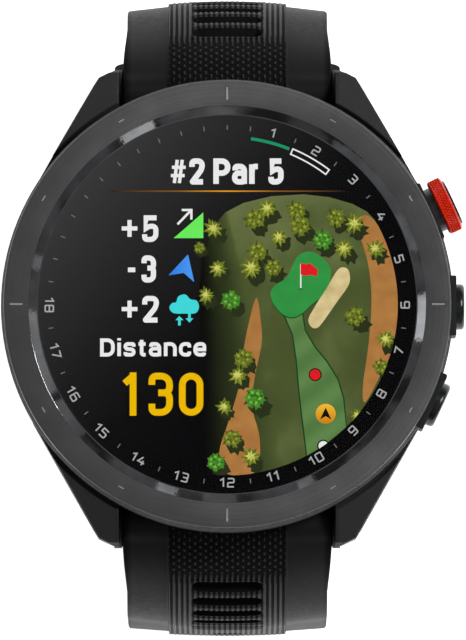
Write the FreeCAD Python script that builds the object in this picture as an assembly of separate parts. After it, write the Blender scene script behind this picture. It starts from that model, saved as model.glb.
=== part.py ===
"""Golf GPS watch: round case with three side buttons, and a rubber strap in two halves with a pin buckle.

Millimetres. The origin is the centre of the rear sensor window's flat face, which rests on the wrist.
+Z points out of the display, +Y to 12 o'clock and +X to 3 o'clock, where the buttons are.
"""

import FreeCAD, Part
import math
import os

from FreeCAD import Vector

# Case, seen from the front
CASE_R = 23.7
BEZEL_R = 23.4
BEZEL_FLAT_INNER_R = 20.8
GLASS_SIGHT_R = 19.8
GLASS_R = 20.25
DISPLAY_R = 18.4
ACTIVE_R = 17.9

# Heights of the case's layers
BACK_Z = 0.9
CASE_BOTTOM_Z = 1.4
CAVITY_FLOOR_Z = 2.2
UPPER_CAVITY_Z = 9.6
BEZEL_SEAT_Z = 11.6
GLASS_BOTTOM_Z = 12.15
GLASS_TOP_Z = 13.2
BEZEL_TOP_Z = 13.9

# Insides
LOWER_CAVITY_R = 17.4
UPPER_CAVITY_R = 20.9
BACK_COVER_R = 18.9
SCREW_CIRCLE_R = 16.2
SCREW_ANGLES = (45, 135, 225, 315)
SMALL_GAP = 0.05

# Lugs and their pins
STRAP_HALF_WIDTH = 11.0
LUG_INNER_X = 11.35
LUG_PIN_R = 0.9
PIN_Y = 22.7
PIN_Z = 3.6
LUG_END_R = 2.4
LUG_STEP_R = 24.3
LUG_TOP_Z = 9.8
LUG_TOP_FALL = 0.9
STRAP_END_R = 3.2
STRAP_END_CLEARANCE = 0.5
LUG_BOSS_R = 2.45
LUG_BOSS_TIP_R = 1.2
LUG_BOSS_DEPTH = 0.47
LUG_BOSS_GAP = 0.07

# Buttons: each one's parts are laid out along its own axis, by distance from the centre of the case
BUTTON_Z = 7.8
BUTTON_ANGLES = {"top": 25, "middle": 0, "bottom": -25}
BUTTON_CAP_R = 2.4
BUTTON_WELL_R = 2.5
BUTTON_WELL_FLOOR = 21.6
STEM_R = 1.0
BUSH_R = 1.6
BUSH_INNER = 18.2
STEM_INNER = 17.3
CLIP_SEAT = 17.9

# Strap: its outer face leaves the lug, turns down to the widest point, then curls under the wrist
LUG_SLOPE_DEG = 30
OUTER_STRAIGHT = 0.6
HORIZON_Y = 32.92
STRAP_THICKNESS = 2.8
HOOK_DEPTH = 2.6
INNER_TURN_R = 10.0
STRAP_NARROW_HALF = 10.65
TAPER_Y = (25.3, 30.6)
BAND_HALF_WIDTH = 6.3
BAND_PROUD = 0.3
FLOOR_Z = -46.0
UPPER_CURL_R = 17.0
LOWER_CURL_R = 15.5
TAIL_CURL_R = 14.0
TAIL_CURL_DEG = 60
TAIL_STRAIGHT = 12.0
TAIL_TIP_R = 6.0

# Buckle and keepers
BUCKLE_PIN_R = 0.75
BUCKLE_LENGTH = 11.0
BUCKLE_HALF_WIDTH = 12.7
BUCKLE_LEG = 1.7
BUCKLE_BAR_R = 1.2
STRAP_EYE_R = 1.4
KEEPER_WIDTH = 5.0
KEEPER_HALF_WIDTH = 12.1
KEEPER_WALL = 1.4
KEEPER_CORNER_R = 1.3
KEEPER_TAIL_ROOM = 3.3
KEEPER_SIDE_GAP = 0.35


def cylinder(radius, z0, z1, x=0.0, y=0.0):
    return Part.makeCylinder(radius, z1 - z0, Vector(x, y, z0))


def ring(outer, inner, z0, z1):
    return cylinder(outer, z0, z1).cut(cylinder(inner, z0 - 1, z1 + 1))


def block(x0, x1, y0, y1, z0, z1):
    return Part.makeBox(x1 - x0, y1 - y0, z1 - z0, Vector(x0, y0, z0))


def x_cylinder(radius, half_length, y, z):
    return Part.makeCylinder(radius, 2 * half_length, Vector(-half_length, y, z), Vector(1, 0, 0))


def lathe(profile):
    """Turn a closed (radius, z) outline about the case's axis."""
    points = [Vector(r, 0, z) for r, z in profile]
    face = Part.Face(Part.makePolygon(points + points[:1]))
    return face.revolve(Vector(0, 0, 0), Vector(0, 0, 1), 360)


def prism(outline, z0, z1):
    """Raise a closed (x, y) outline from z0 to z1."""
    points = [Vector(x, y, z0) for x, y in outline]
    return Part.Face(Part.makePolygon(points + points[:1])).extrude(Vector(0, 0, z1 - z0))


def side_prism(outline, x0, x1):
    """Stretch a closed (y, z) outline from x0 to x1."""
    points = [Vector(x0, y, z) for y, z in outline]
    return Part.Face(Part.makePolygon(points + points[:1])).extrude(Vector(x1 - x0, 0, 0))


def mirrored(shape, axis):
    return shape.mirror(Vector(0, 0, 0), axis)


def polar(radius, degrees):
    return radius * math.cos(math.radians(degrees)), radius * math.sin(math.radians(degrees))


def fused(shapes):
    result = shapes[0]
    for shape in shapes[1:]:
        result = result.fuse(shape)
    return result.removeSplitter()


# ---------------------------------------------------------------- strap path

def turtle(start, heading, moves):
    """Follow lines and right-hand arcs in the YZ plane; return the edges, the end and the last heading."""
    y, z = start
    angle = math.radians(heading)
    edges = []
    for kind, *sizes in moves:
        first = Vector(0, y, z)
        if kind == "line":
            y += sizes[0] * math.cos(angle)
            z += sizes[0] * math.sin(angle)
            edges.append(Part.LineSegment(first, Vector(0, y, z)).toShape())
            continue
        radius, turn = sizes[0], math.radians(sizes[1])
        centre_y = y + radius * math.sin(angle)
        centre_z = z - radius * math.cos(angle)

        def on_arc(swept):
            direction = angle + math.pi / 2 - swept
            return Vector(0, centre_y + radius * math.cos(direction), centre_z + radius * math.sin(direction))

        last = on_arc(turn)
        edges.append(Part.Arc(first, on_arc(turn / 2), last).toShape())
        y, z = last.y, last.z
        angle -= turn
    return edges, (y, z), math.degrees(angle)


def station(start, heading, moves, distance):
    """The point and heading in degrees at a distance along a turtle path."""
    for kind, *sizes in moves:
        length = sizes[0] if kind == "line" else sizes[0] * math.radians(sizes[1])
        if distance <= length:
            part = ("line", distance) if kind == "line" else ("arc", sizes[0], math.degrees(distance / sizes[0]))
            _, start, heading = turtle(start, heading, [part])
            return start, heading
        _, start, heading = turtle(start, heading, [(kind, *sizes)])
        distance -= length
    return start, heading


def slope_normal():
    slope = math.radians(LUG_SLOPE_DEG)
    return math.sin(slope), math.cos(slope)


def outer_start(lift=0.0):
    normal_y, normal_z = slope_normal()
    reach = STRAP_END_R + lift
    return PIN_Y + reach * normal_y, PIN_Z + reach * normal_z


def inner_start():
    normal_y, normal_z = slope_normal()
    return PIN_Y - HOOK_DEPTH * normal_y, PIN_Z - HOOK_DEPTH * normal_z


def shoulder_moves(start, horizon, straight):
    """A straight run, then an arc that ends pointing straight down at the horizon."""
    slope = math.radians(LUG_SLOPE_DEG)
    radius = (horizon - start[0] - straight * math.cos(slope)) / (1 - math.sin(slope))
    return [("line", straight), ("arc", radius, 90 - LUG_SLOPE_DEG)]


def turn_down_z(start, moves):
    """Height at which a shoulder has turned to point straight down."""
    return turtle(start, -LUG_SLOPE_DEG, moves)[1][1]


def outer_moves(lift, curls):
    start = outer_start(lift)
    moves = shoulder_moves(start, HORIZON_Y + lift, OUTER_STRAIGHT)
    drop = turn_down_z(start, moves) - curls["centre_z"]
    tail = [(kind, size + lift, turn) for kind, size, turn in curls["arcs"]]
    return start, moves + [("line", drop)] + tail + [("line", curls["end"])]


def inner_moves(curls):
    start = inner_start()
    slope = math.radians(LUG_SLOPE_DEG)
    inner_y = HORIZON_Y - STRAP_THICKNESS
    straight = (inner_y - start[0] - INNER_TURN_R * (1 - math.sin(slope))) / math.cos(slope)
    shoulder = [("line", straight), ("arc", INNER_TURN_R, 90 - LUG_SLOPE_DEG)]
    drop = turn_down_z(start, shoulder) - curls["centre_z"]
    tail = [(kind, size - STRAP_THICKNESS, turn) for kind, size, turn in curls["arcs"]]
    return start, shoulder + [("line", drop)] + tail + [("line", curls["end"])]


UPPER_CURLS = {"centre_z": FLOOR_Z + UPPER_CURL_R + BAND_PROUD + KEEPER_TAIL_ROOM + KEEPER_WALL,
               "arcs": [("arc", UPPER_CURL_R, 90)], "end": 4.9}
LOWER_CURLS = {"centre_z": FLOOR_Z + LOWER_CURL_R + BAND_PROUD,
               "arcs": [("arc", LOWER_CURL_R, 90), ("arc", TAIL_CURL_R, TAIL_CURL_DEG)], "end": TAIL_STRAIGHT}


def strap_slab(half_width, lift, curls):
    """The strap's side profile stretched across its width."""
    start, moves = outer_moves(lift, curls)
    outer, outer_end, _ = turtle(start, -LUG_SLOPE_DEG, moves)
    in_start, in_moves = inner_moves(curls)
    inner, inner_end, _ = turtle(in_start, -LUG_SLOPE_DEG, in_moves)
    ends = [Part.LineSegment(Vector(0, *outer_end), Vector(0, *inner_end)).toShape(),
            Part.LineSegment(Vector(0, *in_start), Vector(0, *start)).toShape()]
    wire = Part.Wire(Part.__sortEdges__(outer + [ends[0]] + inner + [ends[1]]))
    slab = Part.Face(wire).extrude(Vector(2 * half_width, 0, 0))
    slab.translate(Vector(-half_width, 0, 0))
    return slab


def strap_plan():
    """Seen from above, the strap is full width at the lug and narrows to its widest reach."""
    low, high = -60, 20
    outline = [(-STRAP_HALF_WIDTH, 0), (STRAP_HALF_WIDTH, 0), (STRAP_HALF_WIDTH, TAPER_Y[0]),
               (STRAP_NARROW_HALF, TAPER_Y[1]), (STRAP_NARROW_HALF, 60), (-STRAP_NARROW_HALF, 60),
               (-STRAP_NARROW_HALF, TAPER_Y[1]), (-STRAP_HALF_WIDTH, TAPER_Y[0])]
    shoulder = prism(outline, -15, high)
    rest = block(-STRAP_NARROW_HALF, STRAP_NARROW_HALF, -60, 60, low, -15)
    return shoulder.fuse(rest)


def groove_cutter(point, heading):
    """A round-ended groove across the strap, sunk into its outer face."""
    half_length, half_height, depth = 3.7, 0.85, 1.2
    bar = block(-half_length + half_height, half_length - half_height, -half_height, half_height, -depth, 1)
    for side in (-1, 1):
        bar = bar.fuse(cylinder(half_height, -depth, 1, x=side * (half_length - half_height)))
    bar.rotate(Vector(0, 0, 0), Vector(1, 0, 0), heading)
    bar.translate(Vector(0, *point))
    return bar


def hole_cutter(point, heading):
    """An oval adjustment hole right through the strap."""
    hole = block(-0.6, 0.6, -1.1, 1.1, -5, 2)
    for side in (-1, 1):
        hole = hole.fuse(cylinder(1.1, -5, 2, x=side * 0.6))
    hole.rotate(Vector(0, 0, 0), Vector(1, 0, 0), heading)
    hole.translate(Vector(0, *point))
    return hole


GROOVE_FIRST = 6.3
GROOVE_PITCH = 2.55
GROOVE_COUNT = 7
HOLE_FIRST = 34.0
HOLE_PITCH = 5.0
HOLE_COUNT = 11


def in_hook_frame(shape):
    """Turn a shape from the hook's own frame, Y along the strap and Z out of its face, onto the pin."""
    shape.rotate(Vector(0, 0, 0), Vector(1, 0, 0), -LUG_SLOPE_DEG)
    shape.translate(Vector(0, PIN_Y, PIN_Z))
    return shape


CLIP_HALF_LENGTH = STRAP_HALF_WIDTH - LUG_BOSS_DEPTH
CLIP_R = 2.2
CLIP_BLOCK_HALF = 6.6
CLIP_BLOCK_END = 7.2
LATCH_HALF = 5.0


def clip_outer(gap):
    """Outside of the hard end clip: a tube round the pin, and a block that holds the latch."""
    tube = Part.makeCylinder(CLIP_R + gap, 2 * (CLIP_HALF_LENGTH + gap), Vector(-CLIP_HALF_LENGTH - gap, 0, 0),
                             Vector(1, 0, 0))
    body = block(-CLIP_BLOCK_HALF - gap, CLIP_BLOCK_HALF + gap, 0, CLIP_BLOCK_END + gap, -2.3, 0.9 + gap)
    return tube.fuse(body)


def pin_entry():
    """The open mouth under the pin, as wide as the pin, where the hook drops over it."""
    return block(-14, 14, -LUG_PIN_R - SMALL_GAP, LUG_PIN_R + SMALL_GAP, -5, 0)


def end_clip():
    clip = clip_outer(0)
    clip = clip.cut(Part.makeCylinder(LUG_PIN_R + SMALL_GAP, 30, Vector(-15, 0, 0), Vector(1, 0, 0)))
    clip = clip.cut(pin_entry())
    clip = clip.cut(block(-LATCH_HALF - 0.1, LATCH_HALF + 0.1, -1.8, 6.5, -2.0, -1.15))
    clip = clip.cut(block(-3.6, 3.6, -1.8, 6.5, -5, -1.9))
    return in_hook_frame(clip)


def latch():
    plate = block(-LATCH_HALF, LATCH_HALF, -0.95, 3.3, -1.95, -1.25)
    tab = block(-3.5, 3.5, 0.2, 3.3, -2.9, -1.95)
    return in_hook_frame(plate.fuse(tab).removeSplitter())


def latch_spring():
    """A flat zigzag leaf between the latch plate and the end of its track."""
    leaf = block(-3.0, 3.0, 3.4, 3.6, -1.9, -1.3)
    for step in range(4):
        leaf = leaf.fuse(block(-3.0 if step % 2 else 2.6, -2.6 if step % 2 else 3.0,
                               3.4 + 0.7 * step, 4.3 + 0.7 * step, -1.9, -1.3))
        leaf = leaf.fuse(block(-3.0, 3.0, 4.1 + 0.7 * step, 4.3 + 0.7 * step, -1.9, -1.3))
    return in_hook_frame(leaf.removeSplitter())


def strap_half(curls, plan):
    slab = strap_slab(STRAP_HALF_WIDTH, 0.0, curls).common(plan)
    band = strap_slab(BAND_HALF_WIDTH, BAND_PROUD, curls)
    strap = slab.fuse(band).fuse(x_cylinder(STRAP_END_R, STRAP_HALF_WIDTH, PIN_Y, PIN_Z))
    band_end = x_cylinder(STRAP_END_R + BAND_PROUD, BAND_HALF_WIDTH, PIN_Y, PIN_Z)
    upper_quarter = in_hook_frame(block(-BAND_HALF_WIDTH, BAND_HALF_WIDTH, -5, 0, 0, 5))
    strap = strap.fuse(band_end.common(upper_quarter))
    start, moves = outer_moves(BAND_PROUD, curls)
    for index in range(GROOVE_COUNT):
        point, heading = station(start, -LUG_SLOPE_DEG, moves, GROOVE_FIRST + index * GROOVE_PITCH)
        strap = strap.cut(groove_cutter(point, heading))
    strap = strap.cut(in_hook_frame(clip_outer(0.0)))
    strap = strap.cut(in_hook_frame(pin_entry()))
    strap = strap.cut(x_cylinder(LUG_PIN_R + SMALL_GAP, 12, PIN_Y, PIN_Z))
    sockets = x_cylinder(LUG_BOSS_R, STRAP_HALF_WIDTH + 1, PIN_Y, PIN_Z)
    strap = strap.cut(sockets.cut(between_lugs(0.0, PIN_Y)))
    strap = strap.cut(in_hook_frame(block(-3.7, 3.7, -1.8, 6.6, -6, -2.0)))
    return strap


def upper_strap(plan):
    """The 12 o'clock half, which carries the buckle in an eye at its end."""
    strap = strap_half(UPPER_CURLS, plan)
    eye_y, eye_z = buckle_pivot()
    strap = strap.fuse(x_cylinder(STRAP_EYE_R, STRAP_NARROW_HALF, eye_y, eye_z))
    strap = strap.cut(x_cylinder(BUCKLE_PIN_R + SMALL_GAP, 20, eye_y, eye_z))
    notch = block(-1.5, 1.5, eye_y - 3, eye_y + 2.2, eye_z - 3, eye_z + 3)
    return strap.cut(notch).removeSplitter()


def lower_strap(plan):
    """The 6 o'clock half, with the adjustment holes and a rounded tip, still drawn on the 12 o'clock side."""
    strap = strap_half(LOWER_CURLS, plan)
    start, moves = outer_moves(0.0, LOWER_CURLS)
    for index in range(HOLE_COUNT):
        point, heading = station(start, -LUG_SLOPE_DEG, moves, HOLE_FIRST + index * HOLE_PITCH)
        strap = strap.cut(hole_cutter(point, heading))
    _, tip, heading = turtle(start, -LUG_SLOPE_DEG, moves)
    corner = block(-30, 30, -TAIL_TIP_R, 5, -8, 8)
    corner = corner.cut(block(-STRAP_NARROW_HALF + TAIL_TIP_R, STRAP_NARROW_HALF - TAIL_TIP_R, -20, 0, -9, 9))
    for side in (-1, 1):
        round_x = side * (STRAP_NARROW_HALF - TAIL_TIP_R)
        corner = corner.cut(cylinder(TAIL_TIP_R, -9, 9, x=round_x, y=-TAIL_TIP_R))
    corner.rotate(Vector(0, 0, 0), Vector(1, 0, 0), heading)
    corner.translate(Vector(0, *tip))
    return strap.cut(corner).removeSplitter()


def buckle_pivot():
    """The buckle pin's (y, z), in the middle of the upper strap's flat end."""
    start, moves = outer_moves(0.0, UPPER_CURLS)
    _, end, _ = turtle(start, -LUG_SLOPE_DEG, moves)
    return end[0], end[1] + STRAP_THICKNESS / 2


def curl_centre():
    """Centre of the upper strap's lower bend, which the sliding keeper runs round."""
    start, moves = outer_moves(0.0, UPPER_CURLS)
    _, top, _ = turtle(start, -LUG_SLOPE_DEG, moves[:3])
    return top[0] - UPPER_CURL_R, top[1]


def rounded_loop_block(half_width, half_depth, low, high, corner):
    """A block along the strap with its four long edges rounded."""
    loop = block(-half_width, half_width, -half_depth, half_depth, low, high)
    long_edges = [edge for edge in loop.Edges if edge.BoundBox.YLength > 1.9 * half_depth]
    return loop.makeFillet(corner, long_edges)


def keeper(degrees, inner_gap):
    """A loop round the strap, at an angle below the horizontal seen from the bend's centre."""
    centre_y, centre_z = curl_centre()
    half_depth = KEEPER_WIDTH / 2
    hole_low = math.sqrt((UPPER_CURL_R - STRAP_THICKNESS) ** 2 - half_depth ** 2) - inner_gap
    hole_high = UPPER_CURL_R + BAND_PROUD + KEEPER_TAIL_ROOM
    hole_half = STRAP_NARROW_HALF + KEEPER_SIDE_GAP
    loop = rounded_loop_block(KEEPER_HALF_WIDTH, half_depth, hole_low - KEEPER_WALL, hole_high + KEEPER_WALL,
                              KEEPER_CORNER_R)
    loop = loop.cut(rounded_loop_block(hole_half, half_depth + 1, hole_low, hole_high, 0.2))
    loop.rotate(Vector(0, 0, 0), Vector(1, 0, 0), -(90 + degrees))
    loop.translate(Vector(0, centre_y, centre_z))
    return loop


def buckle_frame():
    """A metal frame with two ears on the pin and a round front bar."""
    pivot_y, pivot_z = buckle_pivot()
    front_y = pivot_y - BUCKLE_LENGTH
    inner = BUCKLE_HALF_WIDTH - BUCKLE_LEG
    frame = x_cylinder(BUCKLE_BAR_R, BUCKLE_HALF_WIDTH, front_y, pivot_z)
    for side in (-1, 1):
        x0, x1 = sorted((side * inner, side * BUCKLE_HALF_WIDTH))
        leg = block(x0, x1, front_y, pivot_y, pivot_z - BUCKLE_BAR_R, pivot_z + BUCKLE_BAR_R)
        ear = Part.makeCylinder(BUCKLE_BAR_R, x1 - x0, Vector(x0, pivot_y, pivot_z), Vector(1, 0, 0))
        frame = frame.fuse(leg).fuse(ear)
    frame = frame.cut(x_cylinder(BUCKLE_PIN_R + 0.03, BUCKLE_HALF_WIDTH - 0.5, pivot_y, pivot_z))
    return frame.removeSplitter()


def buckle_pin():
    pivot_y, pivot_z = buckle_pivot()
    return x_cylinder(BUCKLE_PIN_R, BUCKLE_HALF_WIDTH - 0.6, pivot_y, pivot_z)


def buckle_tongue():
    """An eye on the pin and a flat blade that rests across the outside of the front bar."""
    pivot_y, pivot_z = buckle_pivot()
    front_y = pivot_y - BUCKLE_LENGTH
    half_width, thickness = 1.2, 1.1
    top_z = pivot_z - BUCKLE_BAR_R - 0.1
    eye = x_cylinder(1.35, half_width, pivot_y, pivot_z)
    blade = side_prism([(pivot_y, pivot_z - 0.3), (pivot_y, pivot_z - 1.35), (pivot_y - 3, top_z - thickness),
                        (front_y - 1.4, top_z - thickness), (front_y - 1.4, top_z),
                        (pivot_y - 3.4, top_z), (pivot_y - 1.2, pivot_z - 0.3)], -half_width, half_width)
    return eye.fuse(blade).cut(x_cylinder(BUCKLE_PIN_R + SMALL_GAP, 3, pivot_y, pivot_z)).removeSplitter()


# ---------------------------------------------------------------- case

def between_lugs(gap, y):
    """The room between the two bosses of a pair of lugs, whose tips taper in towards the strap."""
    face = STRAP_HALF_WIDTH + gap
    tip = face - LUG_BOSS_DEPTH
    spread = (LUG_BOSS_R - LUG_BOSS_TIP_R) / LUG_BOSS_DEPTH
    room = x_cylinder(LUG_BOSS_R + 2, face, y, PIN_Z)
    for way in (-1, 1):
        taper = Part.makeCone(LUG_BOSS_TIP_R, LUG_BOSS_R + spread, LUG_BOSS_DEPTH + 1, Vector(way * tip, y, PIN_Z),
                              Vector(way, 0, 0))
        room = room.cut(taper)
    return room


def lug():
    """One lug at 12 o'clock on the 3 o'clock side.

    Its flank runs straight off the round wall, its top is part of a cone round the case's axis, with a sunk step
    beside the wall, and its end is rounded about the pin.
    """
    plan = prism([(LUG_INNER_X, 12), polar(CASE_R, 30), (14.05, 23.25), (13.5, 24.15), (11.9, 24.95),
                  (LUG_INNER_X, 25.1)], -2, 12)
    cone = lathe([(0, -3), (30, -3), (30, LUG_TOP_Z - LUG_TOP_FALL * (30 - LUG_STEP_R)), (LUG_STEP_R, LUG_TOP_Z),
                  (LUG_STEP_R - 0.15, LUG_TOP_Z), (LUG_STEP_R - 0.15, LUG_TOP_Z - 0.8), (0, LUG_TOP_Z - 0.8)])
    side = side_prism([(12, CASE_BOTTOM_Z), (19.5, CASE_BOTTOM_Z), (PIN_Y - 1.2, PIN_Z - LUG_END_R),
                       (PIN_Y, PIN_Z - LUG_END_R), (PIN_Y + 1.7, PIN_Z - 1.7), (PIN_Y + LUG_END_R, PIN_Z),
                       (PIN_Y + LUG_END_R, PIN_Z + 1.6), (PIN_Y + 2.0, PIN_Z + 2.6), (PIN_Y + 2.0, 12), (12, 12)],
                      0, 30)
    body = plan.common(cone).common(side)
    rims = [edge for edge in body.Edges if edge.BoundBox.ZMin > 4.5 and edge.BoundBox.ZMax < LUG_TOP_Z + 0.01
            and edge.Length > 3 and edge.BoundBox.ZLength > 1.5]
    return body.makeFillet(0.3, rims)


def on_button_axis(shape, angle):
    """Move a shape drawn along X, by distance from the case's centre, onto a button's axis."""
    shape.rotate(Vector(0, 0, 0), Vector(0, 0, 1), angle)
    shape.translate(Vector(0, 0, BUTTON_Z))
    return shape


def along(radius, x0, x1):
    return Part.makeCylinder(radius, x1 - x0, Vector(x0, 0, 0), Vector(1, 0, 0))


def boss_face(name):
    return CASE_R if name == "top" else CASE_R + 0.3


def button_boss(name):
    """A pad on the case wall round one button, with small bevels."""
    face = boss_face(name)
    half, bevel, height = 3.15, 0.12, 3.3
    points = [Vector(20, -half, -height), Vector(face - bevel, -half, -height),
              Vector(face, bevel - half, -height), Vector(face, half - bevel, -height),
              Vector(face - bevel, half, -height), Vector(20, half, -height)]
    pad = Part.Face(Part.makePolygon(points + points[:1])).extrude(Vector(0, 0, 2 * height))
    return on_button_axis(pad, BUTTON_ANGLES[name])


def button_bore(name):
    """Well for the cap, seat for the guide bush, and a flat inside for the retaining clip."""
    well = along(BUTTON_WELL_R + (0.0 if name == "top" else 0.05), BUTTON_WELL_FLOOR, CASE_R + 3)
    seat = along(BUSH_R, 15, BUTTON_WELL_FLOOR + 0.1)
    flat = along(1.78, 15, CLIP_SEAT)
    return on_button_axis(well.fuse(seat).fuse(flat), BUTTON_ANGLES[name])


def case_body():
    wall = lathe([(0, CASE_BOTTOM_Z), (21.6, CASE_BOTTOM_Z), (CASE_R - 0.5, 3.4), (CASE_R, 5.0),
                  (CASE_R, 10.9), (CASE_R - 0.3, BEZEL_SEAT_Z), (0, BEZEL_SEAT_Z)])
    shapes = [wall]
    for flip_x in (False, True):
        for flip_y in (False, True):
            one = lug()
            if flip_x:
                one = mirrored(one, Vector(1, 0, 0))
            if flip_y:
                one = mirrored(one, Vector(0, 1, 0))
            shapes.append(one)
    shapes += [button_boss(name) for name in BUTTON_ANGLES]
    case = fused(shapes)
    case = case.cut(cylinder(LOWER_CAVITY_R, CAVITY_FLOOR_Z, UPPER_CAVITY_Z + 1))
    case = case.cut(cylinder(UPPER_CAVITY_R, UPPER_CAVITY_Z, BEZEL_SEAT_Z + 1))
    case = case.cut(cylinder(BACK_COVER_R + SMALL_GAP, 0, CAVITY_FLOOR_Z))
    for angle in SCREW_ANGLES:
        x, y = polar(SCREW_CIRCLE_R, angle)
        case = case.fuse(cylinder(1.8, CAVITY_FLOOR_Z, UPPER_CAVITY_Z - 0.6, x, y))
        case = case.cut(cylinder(0.8, 0, 6.2, x, y))
    for side in (-1, 1):
        room = x_cylinder(STRAP_END_R + STRAP_END_CLEARANCE, LUG_INNER_X, side * PIN_Y, PIN_Z)
        case = case.cut(room)
        low = block(-LUG_INNER_X, LUG_INNER_X, *sorted((side * (PIN_Y - 1.4), side * 30)), -2, PIN_Z)
        case = case.cut(low)
        bosses = x_cylinder(LUG_BOSS_R, LUG_INNER_X + 0.5, side * PIN_Y, PIN_Z)
        case = case.fuse(bosses.cut(between_lugs(LUG_BOSS_GAP, side * PIN_Y)))
        case = case.cut(x_cylinder(LUG_PIN_R, 12.8, side * PIN_Y, PIN_Z))
    for name in BUTTON_ANGLES:
        case = case.cut(button_bore(name))
    case = case.cut(ring(22.65, 21.75, BEZEL_SEAT_Z - 0.85, BEZEL_SEAT_Z + 1))
    case = case.cut(ring(18.43, 17.87, CAVITY_FLOOR_Z - 1, CAVITY_FLOOR_Z + 0.55))
    return case.removeSplitter()


def bezel_ring():
    """Flat satin ring with a polished inner slope, cut with twelve shallow marks."""
    bezel = lathe([(UPPER_CAVITY_R + 0.05, BEZEL_SEAT_Z), (BEZEL_R, BEZEL_SEAT_Z), (BEZEL_R, BEZEL_TOP_Z - 0.2),
                   (BEZEL_R - 0.2, BEZEL_TOP_Z), (BEZEL_FLAT_INNER_R, BEZEL_TOP_Z),
                   (GLASS_SIGHT_R, GLASS_TOP_Z + 0.1), (GLASS_SIGHT_R, GLASS_TOP_Z),
                   (GLASS_R + SMALL_GAP, GLASS_TOP_Z), (GLASS_R + SMALL_GAP, GLASS_BOTTOM_Z - 0.1),
                   (UPPER_CAVITY_R + 0.05, GLASS_BOTTOM_Z - 0.1)])
    for index in range(12):
        if index % 3 == 0:
            mark = block(21.4, 22.75, -0.11, 0.11, BEZEL_TOP_Z - 0.1, BEZEL_TOP_Z + 1)
        else:
            mark = block(22.04, 22.26, -0.33, 0.33, BEZEL_TOP_Z - 0.1, BEZEL_TOP_Z + 1)
        mark.rotate(Vector(0, 0, 0), Vector(0, 0, 1), 30 * index)
        bezel = bezel.cut(mark)
    return bezel


def back_cover():
    """Screwed cover with a low dome, a round sensor window seat and the charging socket's opening."""
    cover = lathe([(0, 0.35), (8.2, 0.35), (12.0, 0.75), (BACK_COVER_R - 0.3, BACK_Z), (BACK_COVER_R, BACK_Z + 0.3),
                   (BACK_COVER_R, CAVITY_FLOOR_Z), (0, CAVITY_FLOOR_Z)])
    cover = cover.cut(cylinder(7.6, -1, 1.2))
    cover = cover.cut(cylinder(5.6, -1, 3))
    cover = cover.cut(block(-3.2, 3.2, -15.1, -11.7, -1, 3))
    for angle in SCREW_ANGLES:
        x, y = polar(SCREW_CIRCLE_R, angle)
        cover = cover.cut(cylinder(0.85, -1, 3, x, y))
        cover = cover.cut(cylinder(1.5, -1, 1.6, x, y))
    cover = cover.cut(cylinder(0.45, -1, 3, 13.0, 0))
    return cover


def sensor_window():
    """Glass disc with a flat centre that touches the wrist."""
    return lathe([(0, 0), (6.6, 0), (7.3, 0.2), (7.55, 0.45), (7.55, 1.2), (0, 1.2)])


def sensor_leds():
    """Four emitters round two receivers, on the sensor board."""
    chips = []
    for angle in (0, 90, 180, 270):
        x, y = polar(3.6, angle)
        chips.append(block(x - 0.5, x + 0.5, y - 0.5, y + 0.5, 1.5, 2.3))
    for side in (-1, 1):
        chips.append(block(side * 1.2 - 0.7, side * 1.2 + 0.7, -1.3, 1.3, 1.5, 2.3))
    return Part.makeCompound(chips)


def back_screws():
    screws = []
    for angle in SCREW_ANGLES:
        x, y = polar(SCREW_CIRCLE_R, angle)
        head = cylinder(1.35, BACK_Z, 1.6, x, y).cut(cylinder(0.5, BACK_Z, 1.25, x, y))
        screws.append(head.fuse(cylinder(0.75, 1.6, 5.6, x, y)).removeSplitter())
    return Part.makeCompound(screws)


def charge_socket():
    """Rectangular socket body behind the back cover, open to the wrist side."""
    shell = block(-3.15, 3.15, -15.05, -11.75, 1.1, 2.2).fuse(block(-3.9, 3.9, -15.5, -11.2, 2.2, 3.9))
    shell = shell.cut(block(-2.7, 2.7, -14.6, -12.2, 0, 3.4))
    return shell.cut(charge_pins()).removeSplitter()


def charge_pins():
    return Part.makeCompound([cylinder(0.25, 1.6, 4.4, -1.8 + 1.2 * index, -13.4) for index in range(4)])


def with_post_notches(board):
    for angle in SCREW_ANGLES:
        x, y = polar(SCREW_CIRCLE_R, angle)
        board = board.cut(cylinder(2.0, 0, 12, x, y))
    return board


def main_board():
    board = cylinder(16.4, 7.0, 7.8)
    outline = [(0, 0), polar(28, -36), (28, 0), polar(28, 36)]
    board = board.cut(prism(outline, 6, 9).cut(cylinder(14.8, 5, 10)))
    return with_post_notches(board)


def board_chips():
    """Shield cans and chips on top of the main board."""
    sizes = [(-9.5, -1.0, -7.5, 7.5, 1.3), (0.5, 7.5, 0.5, 8.0, 1.2), (0.5, 5.5, -8.5, -1.5, 1.0),
             (7.5, 11.0, -6.0, -2.0, 0.9), (-5.0, 0.0, 9.5, 13.0, 1.0), (-5.0, 4.0, -13.5, -10.5, 1.1)]
    return Part.makeCompound([block(x0, x1, y0, y1, 7.8, 7.8 + height) for x0, x1, y0, y1, height in sizes])


def battery():
    cell = block(-8.6, 9.4, -8.0, 10.0, 3.5, 6.6)
    uprights = [edge for edge in cell.Edges if abs(edge.BoundBox.ZLength - 3.1) < 0.01]
    return cell.makeFillet(1.2, uprights)


def battery_lead():
    """Flat lead from the battery's edge up to the main board."""
    strip = side_prism([(10.0, 4.6), (12.4, 4.6), (12.4, 7.0), (12.2, 7.0), (12.2, 4.8), (10.0, 4.8)], -3, 2)
    return strip


def motor_can():
    shell = cylinder(4.0, 3.5, 6.1, -12.9, 0).cut(cylinder(3.7, 3.75, 5.85, -12.9, 0))
    return shell


def motor_shaft():
    return cylinder(0.4, 3.75, 5.85, -12.9, 0)


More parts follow.
